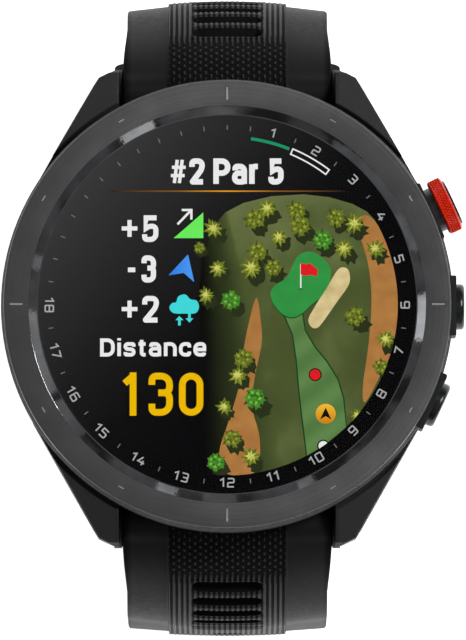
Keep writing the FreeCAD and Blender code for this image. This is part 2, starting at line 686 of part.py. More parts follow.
def motor_rotor():
    """Half-disc weight on a hub, which shakes the watch as it spins."""
    weight = cylinder(3.4, 4.0, 5.6, -12.9, 0).common(block(-20, -5, 0, 8, 3, 7))
    hub = cylinder(1.0, 3.9, 5.7, -12.9, 0)
    return weight.fuse(hub).cut(cylinder(0.43, 3, 7, -12.9, 0)).removeSplitter()


def antenna_ring():
    """Slotted loop antenna that lies on the chassis round the display."""
    loop = ring(20.7, 19.9, 10.4, 11.4)
    return loop.cut(block(-0.6, 0.6, -22, -18, 10, 12))


def display_chassis():
    """Plate that carries the display, on the step between the two cavities."""
    plate = cylinder(20.8, UPPER_CAVITY_Z, 10.4)
    for x0, x1 in ((-10.5, -7.5), (7.5, 10.5)):
        plate = plate.cut(block(x0, x1, -5, 5, 9, 11))
    return plate.cut(block(-4.2, 4.2, -15.2, -13.6, 9, 11))


def display_panel():
    return cylinder(DISPLAY_R, 11.0, 11.9)


def display_flex():
    """Flat lead from the display's lower edge, through the chassis, to the main board."""
    return side_prism([(-14.4, 11.0), (-14.4, 7.8), (-14.2, 7.8), (-14.2, 11.0)], -3.6, 3.6)


def dial_ring():
    """Thin printed ring between the display's active area and the bezel."""
    return ring(20.2, ACTIVE_R, 11.9, GLASS_BOTTOM_Z)


def side_flex():
    """Curved flex strip that carries the three switches."""
    strip = ring(15.3, 15.05, BUTTON_Z - 1.2, BUTTON_Z + 1.2)
    outline = [(0, 0), polar(24, -33), (24, 0), polar(24, 33)]
    return strip.common(prism(outline, 0, 12))


def side_switches():
    switches = []
    for angle in BUTTON_ANGLES.values():
        body = block(15.4, 16.2, -1.5, 1.5, -1.1, 1.1)
        switches.append(on_button_axis(body.fuse(along(0.8, 16.2, 16.5)).removeSplitter(), angle))
    return Part.makeCompound(switches)


# ---------------------------------------------------------------- buttons

def button_cap(name):
    """Cap and stem in one piece; the cap is hollow underneath for the return spring."""
    top = name == "top"
    end = 24.4 if top else 24.85
    cap = along(BUTTON_CAP_R, 22.6, end)
    if top:
        cap = cap.fuse(along(1.9, 24.4, 25.9)).fuse(along(2.45, 25.9, 26.12))
    else:
        rim = [edge for edge in cap.Edges if edge.BoundBox.XMin > end - 0.01]
        cap = cap.makeFillet(0.4, rim[:1])
    cap = cap.cut(along(2.05, 22.5, 23.7))
    stem = along(STEM_R, STEM_INNER, 23.8).cut(along(STEM_R + 0.1, 17.5, 17.8).cut(along(0.7, 17.4, 17.9)))
    return on_button_axis(cap.fuse(stem).removeSplitter(), BUTTON_ANGLES[name])


def button_ring():
    """Knurled red collar round the top button, with a small bevel on each edge."""
    collar = along(2.985, 24.4, 25.9)
    rims = [edge for edge in collar.Edges if edge.BoundBox.XLength < 0.01]
    collar = collar.makeChamfer(0.25, rims)
    return on_button_axis(collar.cut(along(1.9, 24, 26)), BUTTON_ANGLES["top"])


def button_spring(name):
    """Stacked wave spring in the well, under the cap: thin rings joined at alternate crests."""
    rings, thickness, outer, inner, ceiling = 5, 0.15, 1.9, 1.35, 23.7
    pitch = (ceiling - thickness - BUTTON_WELL_FLOOR) / (rings - 1)
    stack = []
    for index in range(rings):
        x = BUTTON_WELL_FLOOR + index * pitch
        stack.append(along(outer, x, x + thickness).cut(along(inner, x - 1, x + 1)))
        if index == rings - 1:
            continue
        crests = block(x, x + pitch, -0.25, 0.25, -outer, outer).common(
            along(outer - 0.05, x, x + pitch).cut(along(inner + 0.05, x - 1, x + 2)))
        if index % 2:
            crests.rotate(Vector(x, 0, 0), Vector(1, 0, 0), 90)
        stack.append(crests)
    return on_button_axis(fused(stack), BUTTON_ANGLES[name])


def button_bush(name):
    """Brass sleeve that guides the stem, with a wider mouth for the seal."""
    bush = along(BUSH_R, BUSH_INNER, BUTTON_WELL_FLOOR)
    bush = bush.cut(along(STEM_R + 0.03, 15, 25)).cut(along(1.36, 20.8, 25))
    return on_button_axis(bush, BUTTON_ANGLES[name])


def button_seal(name):
    seal = Part.makeTorus(1.19, 0.16, Vector(21.1, 0, 0), Vector(1, 0, 0))
    return on_button_axis(seal, BUTTON_ANGLES[name])


def button_clip(name):
    """C-shaped clip in the stem's groove, which stops the button coming out."""
    clip = along(1.7, 17.52, 17.78).cut(along(0.72, 17, 18))
    clip = clip.cut(block(17, 18, -0.55, 0.55, -3, 0))
    return on_button_axis(clip, BUTTON_ANGLES[name])


# ---------------------------------------------------------------- all parts

def back_seal():
    return Part.makeTorus(18.15, 0.25, Vector(0, 0, CAVITY_FLOOR_Z + 0.27))


def all_parts():
    plan = strap_plan()
    y_axis = Vector(0, 1, 0)
    parts = {
        "case_body": case_body(),
        "bezel_ring": bezel_ring(),
        "bezel_seal": Part.makeTorus(22.2, 0.4, Vector(0, 0, BEZEL_SEAT_Z - 0.42)),
        "cover_glass": cylinder(GLASS_R, GLASS_BOTTOM_Z, GLASS_TOP_Z),
        "dial_ring": dial_ring(),
        "display_panel": display_panel(),
        "display_flex": display_flex(),
        "display_chassis": display_chassis(),
        "antenna_ring": antenna_ring(),
        "main_board": main_board(),
        "board_chips": board_chips(),
        "battery": battery(),
        "battery_lead": battery_lead(),
        "motor_can": motor_can(),
        "motor_shaft": motor_shaft(),
        "motor_rotor": motor_rotor(),
        "pressure_sensor": block(11.9, 14.1, -1.1, 1.1, CAVITY_FLOOR_Z, 3.3),
        "sensor_board": cylinder(7.5, 2.3, 3.1),
        "sensor_leds": sensor_leds(),
        "sensor_window": sensor_window(),
        "back_cover": back_cover(),
        "back_seal": back_seal(),
        "back_screws": back_screws(),
        "charge_socket": charge_socket(),
        "charge_pins": charge_pins(),
        "side_flex": side_flex(),
        "side_switches": side_switches(),
        "top_button_ring": button_ring(),
        "upper_strap": upper_strap(plan),
        "lower_strap": mirrored(lower_strap(plan), y_axis),
        "sliding_keeper": keeper(61.0, 0.3),
        "fixed_keeper": keeper(90, 0.0),
        "buckle_frame": buckle_frame(),
        "buckle_pin": buckle_pin(),
        "buckle_tongue": buckle_tongue(),
    }
    for name in BUTTON_ANGLES:
        parts[name + "_button"] = button_cap(name)
        parts[name + "_button_spring"] = button_spring(name)
        parts[name + "_button_bush"] = button_bush(name)
        parts[name + "_button_seal"] = button_seal(name)
        parts[name + "_button_clip"] = button_clip(name)
    for prefix, flip in (("upper", False), ("lower", True)):
        pieces = {
            "_lug_pin": x_cylinder(LUG_PIN_R, 12.75, PIN_Y, PIN_Z),
            "_end_clip": end_clip(),
            "_latch": latch(),
            "_latch_spring": latch_spring(),
        }
        for suffix, shape in pieces.items():
            parts[prefix + suffix] = mirrored(shape, y_axis) if flip else shape
    return parts


os.makedirs("parts", exist_ok=True)
for node, solid in all_parts().items():
    solid.exportStep("parts/" + node + ".step")
    print(node, "valid", solid.isValid(), "solids", len(solid.Solids), "volume", round(solid.Volume, 2))
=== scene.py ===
"""Looks for the golf GPS watch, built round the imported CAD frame.

Sizes are in millimetres unless said.
"""

from math import cos, dist, hypot, pi, radians, sin, tan

import bmesh
import bpy
import numpy as np
from mathutils import Matrix, Vector


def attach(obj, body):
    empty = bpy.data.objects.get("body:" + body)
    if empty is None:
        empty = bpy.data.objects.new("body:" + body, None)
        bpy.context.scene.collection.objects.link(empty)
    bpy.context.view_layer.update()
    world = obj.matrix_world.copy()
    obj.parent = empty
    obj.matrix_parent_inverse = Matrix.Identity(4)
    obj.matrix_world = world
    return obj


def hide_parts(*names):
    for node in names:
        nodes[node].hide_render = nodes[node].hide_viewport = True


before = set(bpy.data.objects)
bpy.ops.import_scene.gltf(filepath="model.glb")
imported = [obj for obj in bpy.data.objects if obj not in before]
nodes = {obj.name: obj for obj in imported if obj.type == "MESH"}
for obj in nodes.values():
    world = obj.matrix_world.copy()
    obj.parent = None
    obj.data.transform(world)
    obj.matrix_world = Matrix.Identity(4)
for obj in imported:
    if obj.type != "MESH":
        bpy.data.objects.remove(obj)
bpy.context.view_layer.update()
MM = 0.001
scene = bpy.context.scene


# ---- materials

class Nodes:
    """A node tree under construction."""

    def __init__(self, tree):
        self.tree = tree

    def node(self, kind):
        return self.tree.nodes.new("ShaderNode" + kind)

    def link(self, value, socket):
        self.tree.links.new(value, socket)

    def ramp(self, value, stops):
        """Colours or greys along a value; stops are (position, colour) pairs."""
        node = self.node("ValToRGB")
        self.link(value, node.inputs[0])
        elements = node.color_ramp.elements
        while len(elements) < len(stops):
            elements.new(0.5)
        for element, (position, colour) in zip(elements, stops):
            element.position = position
            element.color = (*(colour if isinstance(colour, tuple) else (colour,) * 3), 1)
        return node.outputs["Color"]


class Look(Nodes):
    """A procedural material, ending in one Principled shader."""

    def __init__(self, name, **sockets):
        self.material = bpy.data.materials.new(name)
        self.material.use_nodes = True
        super().__init__(self.material.node_tree)
        self.shader = self.tree.nodes["Principled BSDF"]
        for socket, value in sockets.items():
            self.shader.inputs[socket.replace("_", " ")].default_value = value
        self.place = self.scaled(self.node("TexCoord").outputs["Object"], (1 / MM, 1 / MM, 1 / MM))

    def scaled(self, vector, by):
        node = self.node("VectorMath")
        node.operation = "MULTIPLY"
        self.link(vector, node.inputs[0])
        node.inputs[1].default_value = by
        return node.outputs[0]

    def math(self, operation, *values):
        node = self.node("Math")
        node.operation = operation
        for slot, value in zip(node.inputs, values):
            if isinstance(value, (int, float)):
                slot.default_value = value
            else:
                self.link(value, slot)
        return node.outputs[0]

    def times(self, a, b):
        return self.math("MULTIPLY", a, b)

    def plus(self, a, b):
        return self.math("ADD", a, b)

    def minus(self, a, b):
        return self.math("SUBTRACT", a, b)

    def axis(self, name):
        node = self.node("SeparateXYZ")
        self.link(self.place, node.inputs[0])
        return node.outputs[name]

    def noise(self, per_mm, detail=3.0, stretch=(1, 1, 1)):
        node = self.node("TexNoise")
        self.link(self.scaled(self.place, stretch), node.inputs["Vector"])
        node.inputs["Scale"].default_value = per_mm
        node.inputs["Detail"].default_value = detail
        return node.outputs["Fac"]

    def into(self, socket, value):
        self.link(value, self.shader.inputs[socket])

    def mottled(self, socket, per_mm, detail, low, high, stretch=(1, 1, 1)):
        """Let a socket wander between two colours or levels."""
        self.into(socket, self.ramp(self.noise(per_mm, detail, stretch), [(0.3, low), (0.7, high)]))

    def bump(self, height, depth_mm, strength=1.0):
        node = self.node("Bump")
        node.inputs["Distance"].default_value = depth_mm * MM
        node.inputs["Strength"].default_value = strength
        self.link(height, node.inputs["Height"])
        self.into("Normal", node.outputs[0])


def srgb(*levels):
    """Linear colour from 0-255 display levels."""
    return tuple(((c / 255 + 0.055) / 1.055) ** 2.4 if c > 10 else c / 255 / 12.92
                 for c in levels)


def moulded(name, colour, rough, spread, grain, depth, metal=0.0, variation=0.25,
            stretch=(1, 1, 1), **sockets):
    """A surface with mottled colour, uneven roughness and a fine grain."""
    look = Look(name, Metallic=metal, **sockets)
    dark = tuple(c * (1 - variation) for c in colour)
    light = tuple(min(1.0, c * (1 + variation)) for c in colour)
    look.mottled("Base Color", 0.35, 4, dark, light)
    look.mottled("Roughness", 1.7, 5, rough - spread, rough + spread, stretch)
    look.bump(look.noise(grain, 2, stretch), depth)
    return look.material


GLOW = 1.1


def glowing(name, stops, value_of):
    """A glowing colour, which may run from one colour to another: the screen's own light, and painted
    light where the dial ring's print uses it.
    """
    look = Look(name, Roughness=0.6)
    colour = look.ramp(value_of(look), stops)
    look.into("Emission Color", colour)
    look.shader.inputs["Emission Strength"].default_value = GLOW
    look.shader.inputs["Base Color"].default_value = (0, 0, 0, 1)
    look.shader.inputs["Specular IOR Level"].default_value = 0.0
    return look.material


def flat_glow(name, *levels, speckle=0.04, per_mm=1.5):
    """A glowing colour with a faint unevenness, for the screen, and painted light for the dial ring's
    print.
    """
    colour = srgb(*levels)
    low = tuple(c * (1 - speckle) for c in colour)
    high = tuple(c * (1 + speckle) for c in colour)
    return glowing(name, [(0.3, low), (0.7, high)], lambda look: look.noise(per_mm, 2))


# ---- meshes

def loose(name, data):
    """An object in the scene that isn't a piece of the watch yet."""
    thing = bpy.data.objects.new(name, data)
    scene.collection.objects.link(thing)
    return thing


def add_object(name, mesh, body, slot, material, *replaced):
    piece = loose(name, mesh)
    mesh.materials.append(material)
    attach(piece, body)
    if replaced:
        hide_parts(*replaced)


def mesh_from(name, points, faces, smooth_degrees=None):
    mesh = bpy.data.meshes.new(name)
    mesh.from_pydata((np.asarray(points, float) * MM).tolist(), [], faces)
    mesh.validate()
    shell = bmesh.new()
    shell.from_mesh(mesh)
    bmesh.ops.recalc_face_normals(shell, faces=shell.faces)
    shell.to_mesh(mesh)
    shell.free()
    if smooth_degrees:
        mesh.shade_smooth()
        mesh.set_sharp_from_angle(angle=radians(smooth_degrees))
    return mesh


def grid_faces(rows, columns):
    """Quads over a grid of points stored row by row."""
    starts = [row * columns + column for row in range(rows - 1) for column in range(columns - 1)]
    return [(k, k + 1, k + columns + 1, k + columns) for k in starts]


def ring_faces(segments, count):
    """Quads that join a ring of closed outlines, each of count points, stored one by one."""
    faces = []
    for step in range(segments):
        here, there = step * count, (step + 1) % segments * count
        faces += [(here + k, here + (k + 1) % count, there + (k + 1) % count, there + k)
                  for k in range(count)]
    return faces


def lathe(name, outline, segments):
    """Turn a closed (radius, height) outline about Z."""
    points = []
    for step in range(segments):
        angle = 2 * pi * step / segments
        points += [(r * cos(angle), r * sin(angle), z) for r, z in outline]
    return mesh_from(name, points, ring_faces(segments, len(outline)), smooth_degrees=30)


def rounded(outline, corners):
    """Round chosen corners of a closed outline; corners maps an index to a radius."""
    result = []
    count = len(outline)
    for index, point in enumerate(outline):
        radius = corners.get(index)
        if not radius:
            result.append(point)
            continue
        here = Vector(point)
        back = (Vector(outline[index - 1]) - here).normalized()
        on = (Vector(outline[(index + 1) % count]) - here).normalized()
        half = back.angle(on) / 2
        reach = radius / tan(half)
        start, end = here + back * reach, here + on * reach
        for step in range(5):
            t = step / 4
            result.append(tuple(start * (1 - t) ** 2 + here * 2 * t * (1 - t) + end * t ** 2))
    return result


class Flat:
    """Flat shapes raised from one height to another, gathered into one mesh."""

    def __init__(self, low, high):
        self.low, self.high = low, high
        self.points, self.faces = [], []

    def polygon(self, outline):
        count, first = len(outline), len(self.points)
        self.points += [(x, y, z) for z in (self.low, self.high) for x, y in outline]
        bottom = [first + k for k in range(count)]
        self.faces += [tuple(reversed(bottom)), tuple(k + count for k in bottom)]
        around = zip(bottom, bottom[1:] + bottom[:1])
        self.faces += [(a, b, b + count, a + count) for a, b in around]

    def stroke(self, path, width, closed=False):
        """An even stroke along a path, with mitred joints."""
        sides = offsets(path, width / 2, closed)
        first, count = len(self.points), len(sides)
        for sides_here in sides:
            self.points += [(*side, z) for z in (self.low, self.high) for side in sides_here]
        for index in range(count if closed else count - 1):
            a, b = first + 4 * index, first + 4 * ((index + 1) % count)
            self.faces += [(a, b, b + 1, a + 1), (a + 2, a + 3, b + 3, b + 2),
                           (a, a + 2, b + 2, b), (a + 1, b + 1, b + 3, a + 3)]
        if not closed:
            last = first + 4 * (count - 1)
            self.faces += [(first, first + 1, first + 3, first + 2),
                           (last, last + 2, last + 3, last + 1)]
        return self

    def moved(self, change):
        """Pass every point's x and y through a function."""
        self.points = [(*change(x, y), z) for x, y, z in self.points]
        return self

    def piece(self, name, material, slot="dial_print"):
        add_object(name, mesh_from(name, self.points, self.faces), "case", slot, material)


def offsets(path, reach, closed):
    """Points to the left and right of a path, for a stroke's two sides."""
    points = [np.array(p, float) for p in path]
    count = len(points)
    sides = []
    for index in range(count):
        ways = []
        if index or closed:
            ways.append(points[index] - points[index - 1])
        if index < count - 1 or closed:
            ways.append(points[(index + 1) % count] - points[index])
        normals = [np.array((-w[1], w[0])) / np.linalg.norm(w) for w in ways]
        middle = sum(normals) / len(normals)
        middle = middle / max(np.dot(middle, middle), 0.25) * reach
        sides.append((tuple(points[index] + middle), tuple(points[index] - middle)))
    return sides


def soft_path(points, closed=False):
    """A path whose corners are rounded where a point carries a third number, its radius."""
    result = []
    count = len(points)
    for index, point in enumerate(points):
        here = Vector(point[:2])
        inside = closed or 0 < index < count - 1
        if len(point) < 3 or not inside:
            result.append(tuple(here))
            continue
        back = Vector(points[index - 1][:2]) - here
        on = Vector(points[(index + 1) % count][:2]) - here
        reach = min(point[2], 0.5 * back.length, 0.5 * on.length)
        start, end = here + back.normalized() * reach, here + on.normalized() * reach
        for step in range(7):
            angle = pi / 2 * step / 6
            result.append(tuple(start + (here - start) * sin(angle)
                                + (end - here) * (1 - cos(angle))))
    return [p for p, q in zip(result, result[-1:] + result[:-1]) if dist(p, q) > 1e-4]


def polar(radius, degrees):
    return radius * cos(radians(degrees)), radius * sin(radians(degrees))


def circle(x, y, radius, count=40, squash=1.0):
    turns = [2 * pi * k / count for k in range(count)]
    return [(x + radius * cos(turn), y + squash * radius * sin(turn)) for turn in turns]


SPAN_STEPS = 6


def smooth_loop(points):
    """A closed curve through given points."""
    loop, count = [], len(points)
    for index in range(count):
        p0, p1, p2, p3 = (np.array(points[(index + k - 1) % count]) for k in range(4))
        for step in range(SPAN_STEPS):
            t = step / SPAN_STEPS
            bend = (2 * p0 - 5 * p1 + 4 * p2 - p3) * t * t + (3 * p1 - p0 - 3 * p2 + p3) * t ** 3
            loop.append(tuple(0.5 * (2 * p1 + (p2 - p0) * t + bend)))
    return loop


def inside(radius):
    """A change that pulls points back within a circle round the dial's centre."""
    def change(x, y):
        scale = min(1.0, radius / max(hypot(x, y), 1e-6))
        return x * scale, y * scale
    return change


# ---- finishes by material slot

def rubber(name, level, shine, rough=0.56):
    """Strap rubber with painted shade in its shine: less shine close to the case, where the bezel shades
    the strap, a little less on the lower strap, and less at the long edges, a painted shade over their
    reflection of the floor.
    """
    look = Look(name)
    dark, light = srgb(level - 2, level - 2, level - 2), srgb(level + 2, level + 2, level + 3)
    look.mottled("Base Color", 0.35, 4, dark, light)
    look.mottled("Roughness", 1.7, 5, rough - 0.05, rough + 0.05)
    reach = look.math("MAXIMUM", look.axis("Y"), look.times(look.axis("Y"), -0.84))
    out = look.times(look.minus(reach, 23.0), 0.1)
    edge = look.times(look.minus(look.math("ABSOLUTE", look.axis("X")), 10.0), 1.6)
    fade = look.minus(1.0, look.times(look.ramp(edge, [(0.0, 0.0), (1.0, 1.0)]), 0.85))
    spread = look.ramp(out, [(0.0, 0.72 * shine), (0.5, 0.85 * shine), (1.0, shine)])
    look.into("Specular IOR Level", look.times(spread, fade))
    look.bump(look.noise(9.0, 2), 0.006)
    return look.material


RUBBER = rubber("strap_rubber", 22, 0.29)
# Lit and shaded copies of the rubber: a lighter one as painted highlight on the studs' and ribs' tops, a
# darker one as painted shade in the valleys and cross grooves.
RUBBER_LIT_COPY = rubber("strap_rubber_painted_highlight", 40, 0.5)
RUBBER_SHADED_COPY = rubber("strap_rubber_painted_shade", 13, 0.14, 0.7)
LOOKS = {"strap_rubber": RUBBER}


def finish(slot, *surface, **extras):
    """The look of one material slot: colour, roughness, its spread, grain and grain depth."""
    LOOKS[slot] = moulded(slot, *surface, **extras)


def metal_finish(slot, *surface, **extras):
    finish(slot, *surface, metal=1.0, **extras)


finish("case_polymer", srgb(33, 34, 35), 0.55, 0.07, 7, 0.006, variation=0.1,
       Specular_IOR_Level=0.28)
finish("flex_film", (0.55, 0.24, 0.05), 0.3, 0.05, 3, 0.01)
metal_finish("chassis_metal", (0.5, 0.51, 0.53), 0.35, 0.1, 5, 0.005, stretch=(6, 1, 1))
metal_finish("antenna", (0.72, 0.5, 0.22), 0.3, 0.1, 4, 0.004)
finish("board", (0.01, 0.09, 0.04), 0.4, 0.1, 8, 0.02, variation=0.5)
finish("chips", (0.02, 0.02, 0.022), 0.45, 0.1, 12, 0.01)
finish("battery", (0.62, 0.63, 0.66), 0.32, 0.12, 1.5, 0.03, metal=0.8)
metal_finish("motor_metal", (0.6, 0.6, 0.62), 0.28, 0.1, 4, 0.005)
metal_finish("rotor_weight", (0.32, 0.31, 0.3), 0.4, 0.1, 6, 0.01)
finish("sensor_parts", (0.05, 0.3, 0.12), 0.25, 0.05, 4, 0.005, Emission_Strength=0.25,
       Emission_Color=(0.03, 0.5, 0.12, 1))
finish("back_polymer", srgb(30, 31, 32), 0.36, 0.08, 5, 0.004, variation=0.12)
metal_finish("steel", (0.56, 0.57, 0.58), 0.24, 0.08, 6, 0.004, stretch=(1, 8, 8))
metal_finish("spring_steel", (0.5, 0.51, 0.54), 0.2, 0.06, 6, 0.003)
metal_finish("contacts", (0.85, 0.62, 0.24), 0.22, 0.08, 5, 0.004)
finish("socket_plastic", (0.03, 0.03, 0.032), 0.4, 0.1, 6, 0.006)
finish("button_black", srgb(32, 32, 34), 0.34, 0.08, 6, 0.004)
metal_finish("bush_brass", (0.7, 0.52, 0.24), 0.28, 0.08, 5, 0.004)
finish("seal_rubber", (0.02, 0.02, 0.02), 0.6, 0.1, 8, 0.01)
finish("clip_plastic", srgb(44, 44, 46), 0.42, 0.08, 5, 0.006)
finish("latch_plastic", srgb(70, 71, 74), 0.4, 0.08, 5, 0.006)
metal_finish("buckle_steel", srgb(86, 88, 92), 0.3, 0.08, 5, 0.003, stretch=(8, 1, 1))
metal_finish("button_steel", srgb(66, 67, 69), 0.26, 0.08, 5, 0.003)


def turned_metal(name, colour, rough, anisotropy):
    """Metal polished on a lathe: fine circular lines round the case's axis."""
    look = Look(name, Metallic=1.0, Anisotropic=anisotropy)
    tangent = look.node("Tangent")
    tangent.direction_type = "RADIAL"
    tangent.axis = "Z"
    look.into("Tangent", tangent.outputs[0])
    x, y = look.axis("X"), look.axis("Y")
    radius = look.math("SQRT", look.plus(look.times(x, x), look.times(y, y)))
    lines = look.node("TexNoise")
    lines.noise_dimensions = "1D"
    lines.inputs["Scale"].default_value = 9.0
    look.link(radius, lines.inputs["W"])
    mottle = look.plus(look.times(lines.outputs["Fac"], 0.6), look.times(look.noise(0.3, 4), 0.4))
    dark, light = (tuple(c * share for c in colour) for share in (0.9, 1.1))
    look.into("Base Color", look.ramp(mottle, [(0.35, dark), (0.65, light)]))
    look.into("Roughness", look.ramp(mottle, [(0.3, rough * 0.85), (0.7, rough * 1.15)]))
    look.bump(lines.outputs["Fac"], 0.002, 0.6)
    return look.material


BEZEL_SATIN = turned_metal("bezel_satin", srgb(112, 112, 113), 0.36, 0.35)
BEZEL_POLISH = moulded("bezel_polish", srgb(124, 125, 127), 0.06, 0.02, 2.5, 0.003, metal=1.0)
MARK_PAINT = moulded("mark_paint", srgb(176, 176, 176), 0.5, 0.05, 9, 0.003)
LOOKS["bezel_ceramic"] = BEZEL_SATIN

GLASS = Look("cover_glass", Alpha=0.08, Roughness=0.03, IOR=1.5)
GLASS.mottled("Base Color", 0.2, 1, (0.004, 0.004, 0.005), (0.006, 0.006, 0.007))
GLASS.material.surface_render_method = "BLENDED"
LOOKS["cover_glass"] = GLASS.material

WINDOW = Look("sensor_window", Roughness=0.08, IOR=1.5, Coat_Weight=0.4)
WINDOW.mottled("Base Color", 0.6, 3, (0.004, 0.004, 0.006), (0.012, 0.012, 0.016))
LOOKS["sensor_window"] = WINDOW.material


def sheen_across(look):
    """Painted reflection, a sheen that falls from 1 at the upper left of the dial to 0 at the lower right.
    """
    slope = look.plus(look.times(look.axis("X"), -0.0267), look.times(look.axis("Y"), 0.0233))
    return look.plus(slope, 0.233)


# The dial ring's print and the screen's dark ground glow in greys that fall across the dial as a painted
# reflection; the print's glow is painted light.
PAINTED_SHEEN_GREYS = [(0.0, srgb(6, 6, 7)), (0.25, srgb(13, 13, 14)), (0.5, srgb(29, 29, 29)),
               (0.75, srgb(45, 45, 45)), (1.0, srgb(60, 60, 60))]
for slot in ("dial_print", "display"):
    LOOKS[slot] = glowing(slot, PAINTED_SHEEN_GREYS, sheen_across)
# The dial ring's numbers and ticks are print, made to glow as painted light.
DIAL_INK = flat_glow("dial_ink", 172, 172, 172)
DIAL_DIM = flat_glow("dial_dim", 120, 120, 120)

RED = Look("button_red", Specular_IOR_Level=0.22)
RED.mottled("Base Color", 2.2, 3, (0.72, 0.018, 0.004), (0.98, 0.04, 0.008))
RED.mottled("Roughness", 3.0, 4, 0.28, 0.42)
LOOKS["button_red"] = RED.material

for node in nodes.values():
    for place in node.material_slots:
        wanted = place.material.name.split(".")[0]
        if wanted in LOOKS:
            place.material = LOOKS[wanted]
        else:
            print("no look for", wanted, node.name)


# ---- bezel

FLAT_INNER_R, SIGHT_R, BEZEL_R = 20.8, 19.8, 23.4
BEZEL_TOP, GLASS_TOP = 13.9, 13.2


def cut_with(piece, cutter, operation):
    """Apply a boolean cut and drop the cutter."""
    modifier = piece.modifiers.new("cut", "BOOLEAN")
    modifier.operation = operation
    modifier.solver = "MANIFOLD"
    modifier.object = cutter
    bpy.context.view_layer.update()
    cut = piece.evaluated_get(bpy.context.evaluated_depsgraph_get())
    old, piece.data = piece.data, bpy.data.meshes.new_from_object(cut)
    piece.modifiers.clear()
    bpy.data.meshes.remove(old)
    bpy.data.objects.remove(cutter)


bezel_outline = rounded([(20.95, 11.6), (BEZEL_R, 11.6), (BEZEL_R, BEZEL_TOP),
                         (FLAT_INNER_R, BEZEL_TOP), (SIGHT_R + 0.12, GLASS_TOP + 0.16),
                         (SIGHT_R, GLASS_TOP + 0.14), (SIGHT_R, GLASS_TOP), (20.3, GLASS_TOP),
                         (20.3, 12.05), (20.95, 12.05)], {2: 0.12, 3: 0.1})
bezel = loose("bezel", lathe("bezel", bezel_outline, 360))
bezel.data.materials.append(BEZEL_SATIN)
bezel.data.materials.append(BEZEL_POLISH)


def mark_outline(index, grow):
    """Outline of an hour mark: a radial line at the quarters, else a short tangential dash."""
    angle = radians(30 * index)
    centre, along, across = (22.075, 0.675, 0.1) if index % 3 == 0 else (22.15, 0.06, 0.33)
    along, across = along + grow, across + grow
    out = Vector((cos(angle), sin(angle)))
    side = Vector((-sin(angle), cos(angle)))
    return [tuple(out * (centre + a * along) + side * b * across)
            for a, b in ((-1, -1), (1, -1), (1, 1), (-1, 1))]


engraving, paint = Flat(13.8, 14.2), Flat(13.78, 13.87)
for mark in range(12):
    engraving.polygon(mark_outline(mark, 0.03))
    paint.polygon(mark_outline(mark, 0.0))
marks = loose("marks", mesh_from("marks", engraving.points, engraving.faces))
cut_with(bezel, marks, "DIFFERENCE")
bezel.data.shade_smooth()
bezel.data.set_sharp_from_angle(angle=radians(16))
for face in bezel.data.polygons:
    middle = Vector(face.center) / MM
    if hypot(middle.x, middle.y) < FLAT_INNER_R + 0.05:
        face.material_index = 1
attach(bezel, "case")
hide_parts("bezel_ring")
paint.piece("bezel_mark_paint", MARK_PAINT, slot="bezel_ceramic")


# ---- dial ring print

# Each digit's strokes in a box 1 wide and 2 high. A third number rounds the corner.
DIGIT_STROKES = {
    "0": [[(0, 0, 0.2), (1, 0, 0.2), (1, 2, 0.2), (0, 2, 0.2)]],
    "1": [[(0.1, 1.55), (0.62, 2), (0.62, 0)]],
    "2": [[(0, 2), (1, 2, 0.25), (1, 1.02, 0.2), (0, 0.98, 0.2), (0, 0), (1, 0)]],
    "3": [[(0, 2), (1, 2, 0.25), (1, 0, 0.25), (0, 0)], [(0.25, 1), (0.9, 1)]],
    "4": [[(0.55, 2), (0, 0.6), (1.15, 0.6)], [(0.8, 1.2), (0.8, 0)]],
    "5": [[(1, 2), (0, 2), (0, 1.12), (1, 1.12, 0.25), (1, 0, 0.25), (0, 0)]],
    "6": [[(1, 2), (0, 2, 0.25), (0, 0, 0.2), (1, 0, 0.2), (1, 1.12, 0.2), (0.1, 1.12)]],
    "7": [[(0, 2), (1, 2), (0.35, 0)]],
    "8": [[(0, 0, 0.2), (1, 0, 0.2), (1, 2, 0.2), (0, 2, 0.2)], [(0.1, 1.03), (0.9, 1.03)]],
    "9": [[(0, 0), (1, 0, 0.25), (1, 2, 0.2), (0, 2, 0.2), (0, 0.88, 0.2), (0.9, 0.88)]],
}
DIGIT_WIDTH, DIGIT_HEIGHT, DIGIT_STROKE, DIGIT_GAP = 0.64, 0.86, 0.15, 0.34
CLOSED_DIGITS = "08"


def dial_number(sheet, text, degrees, radius, tops_out):
    """Strokes of a squarish number centred on the dial ring."""
    advance = [0.42 if c == "1" else DIGIT_WIDTH for c in text]
    total = sum(advance) + DIGIT_GAP * (len(text) - 1)
    turn = radians(degrees - 90 if tops_out else degrees + 90)
    spin = np.array(((cos(turn), -sin(turn)), (sin(turn), cos(turn))))
    centre = np.array(polar(radius, degrees))
    x = -total / 2
    for character, width in zip(text, advance):
        shift = -0.15 if character == "1" else 0.0
        for order, stroke in enumerate(DIGIT_STROKES[character]):
            closed = character in CLOSED_DIGITS and order == 0
            path = [(x + (px + shift) * DIGIT_WIDTH, (py / 2 - 0.5) * DIGIT_HEIGHT)
                    for px, py in soft_path(stroke, closed)]
            sheet.stroke([tuple(centre + spin @ np.array(point)) for point in path],
                         DIGIT_STROKE, closed)
        x += width + DIGIT_GAP


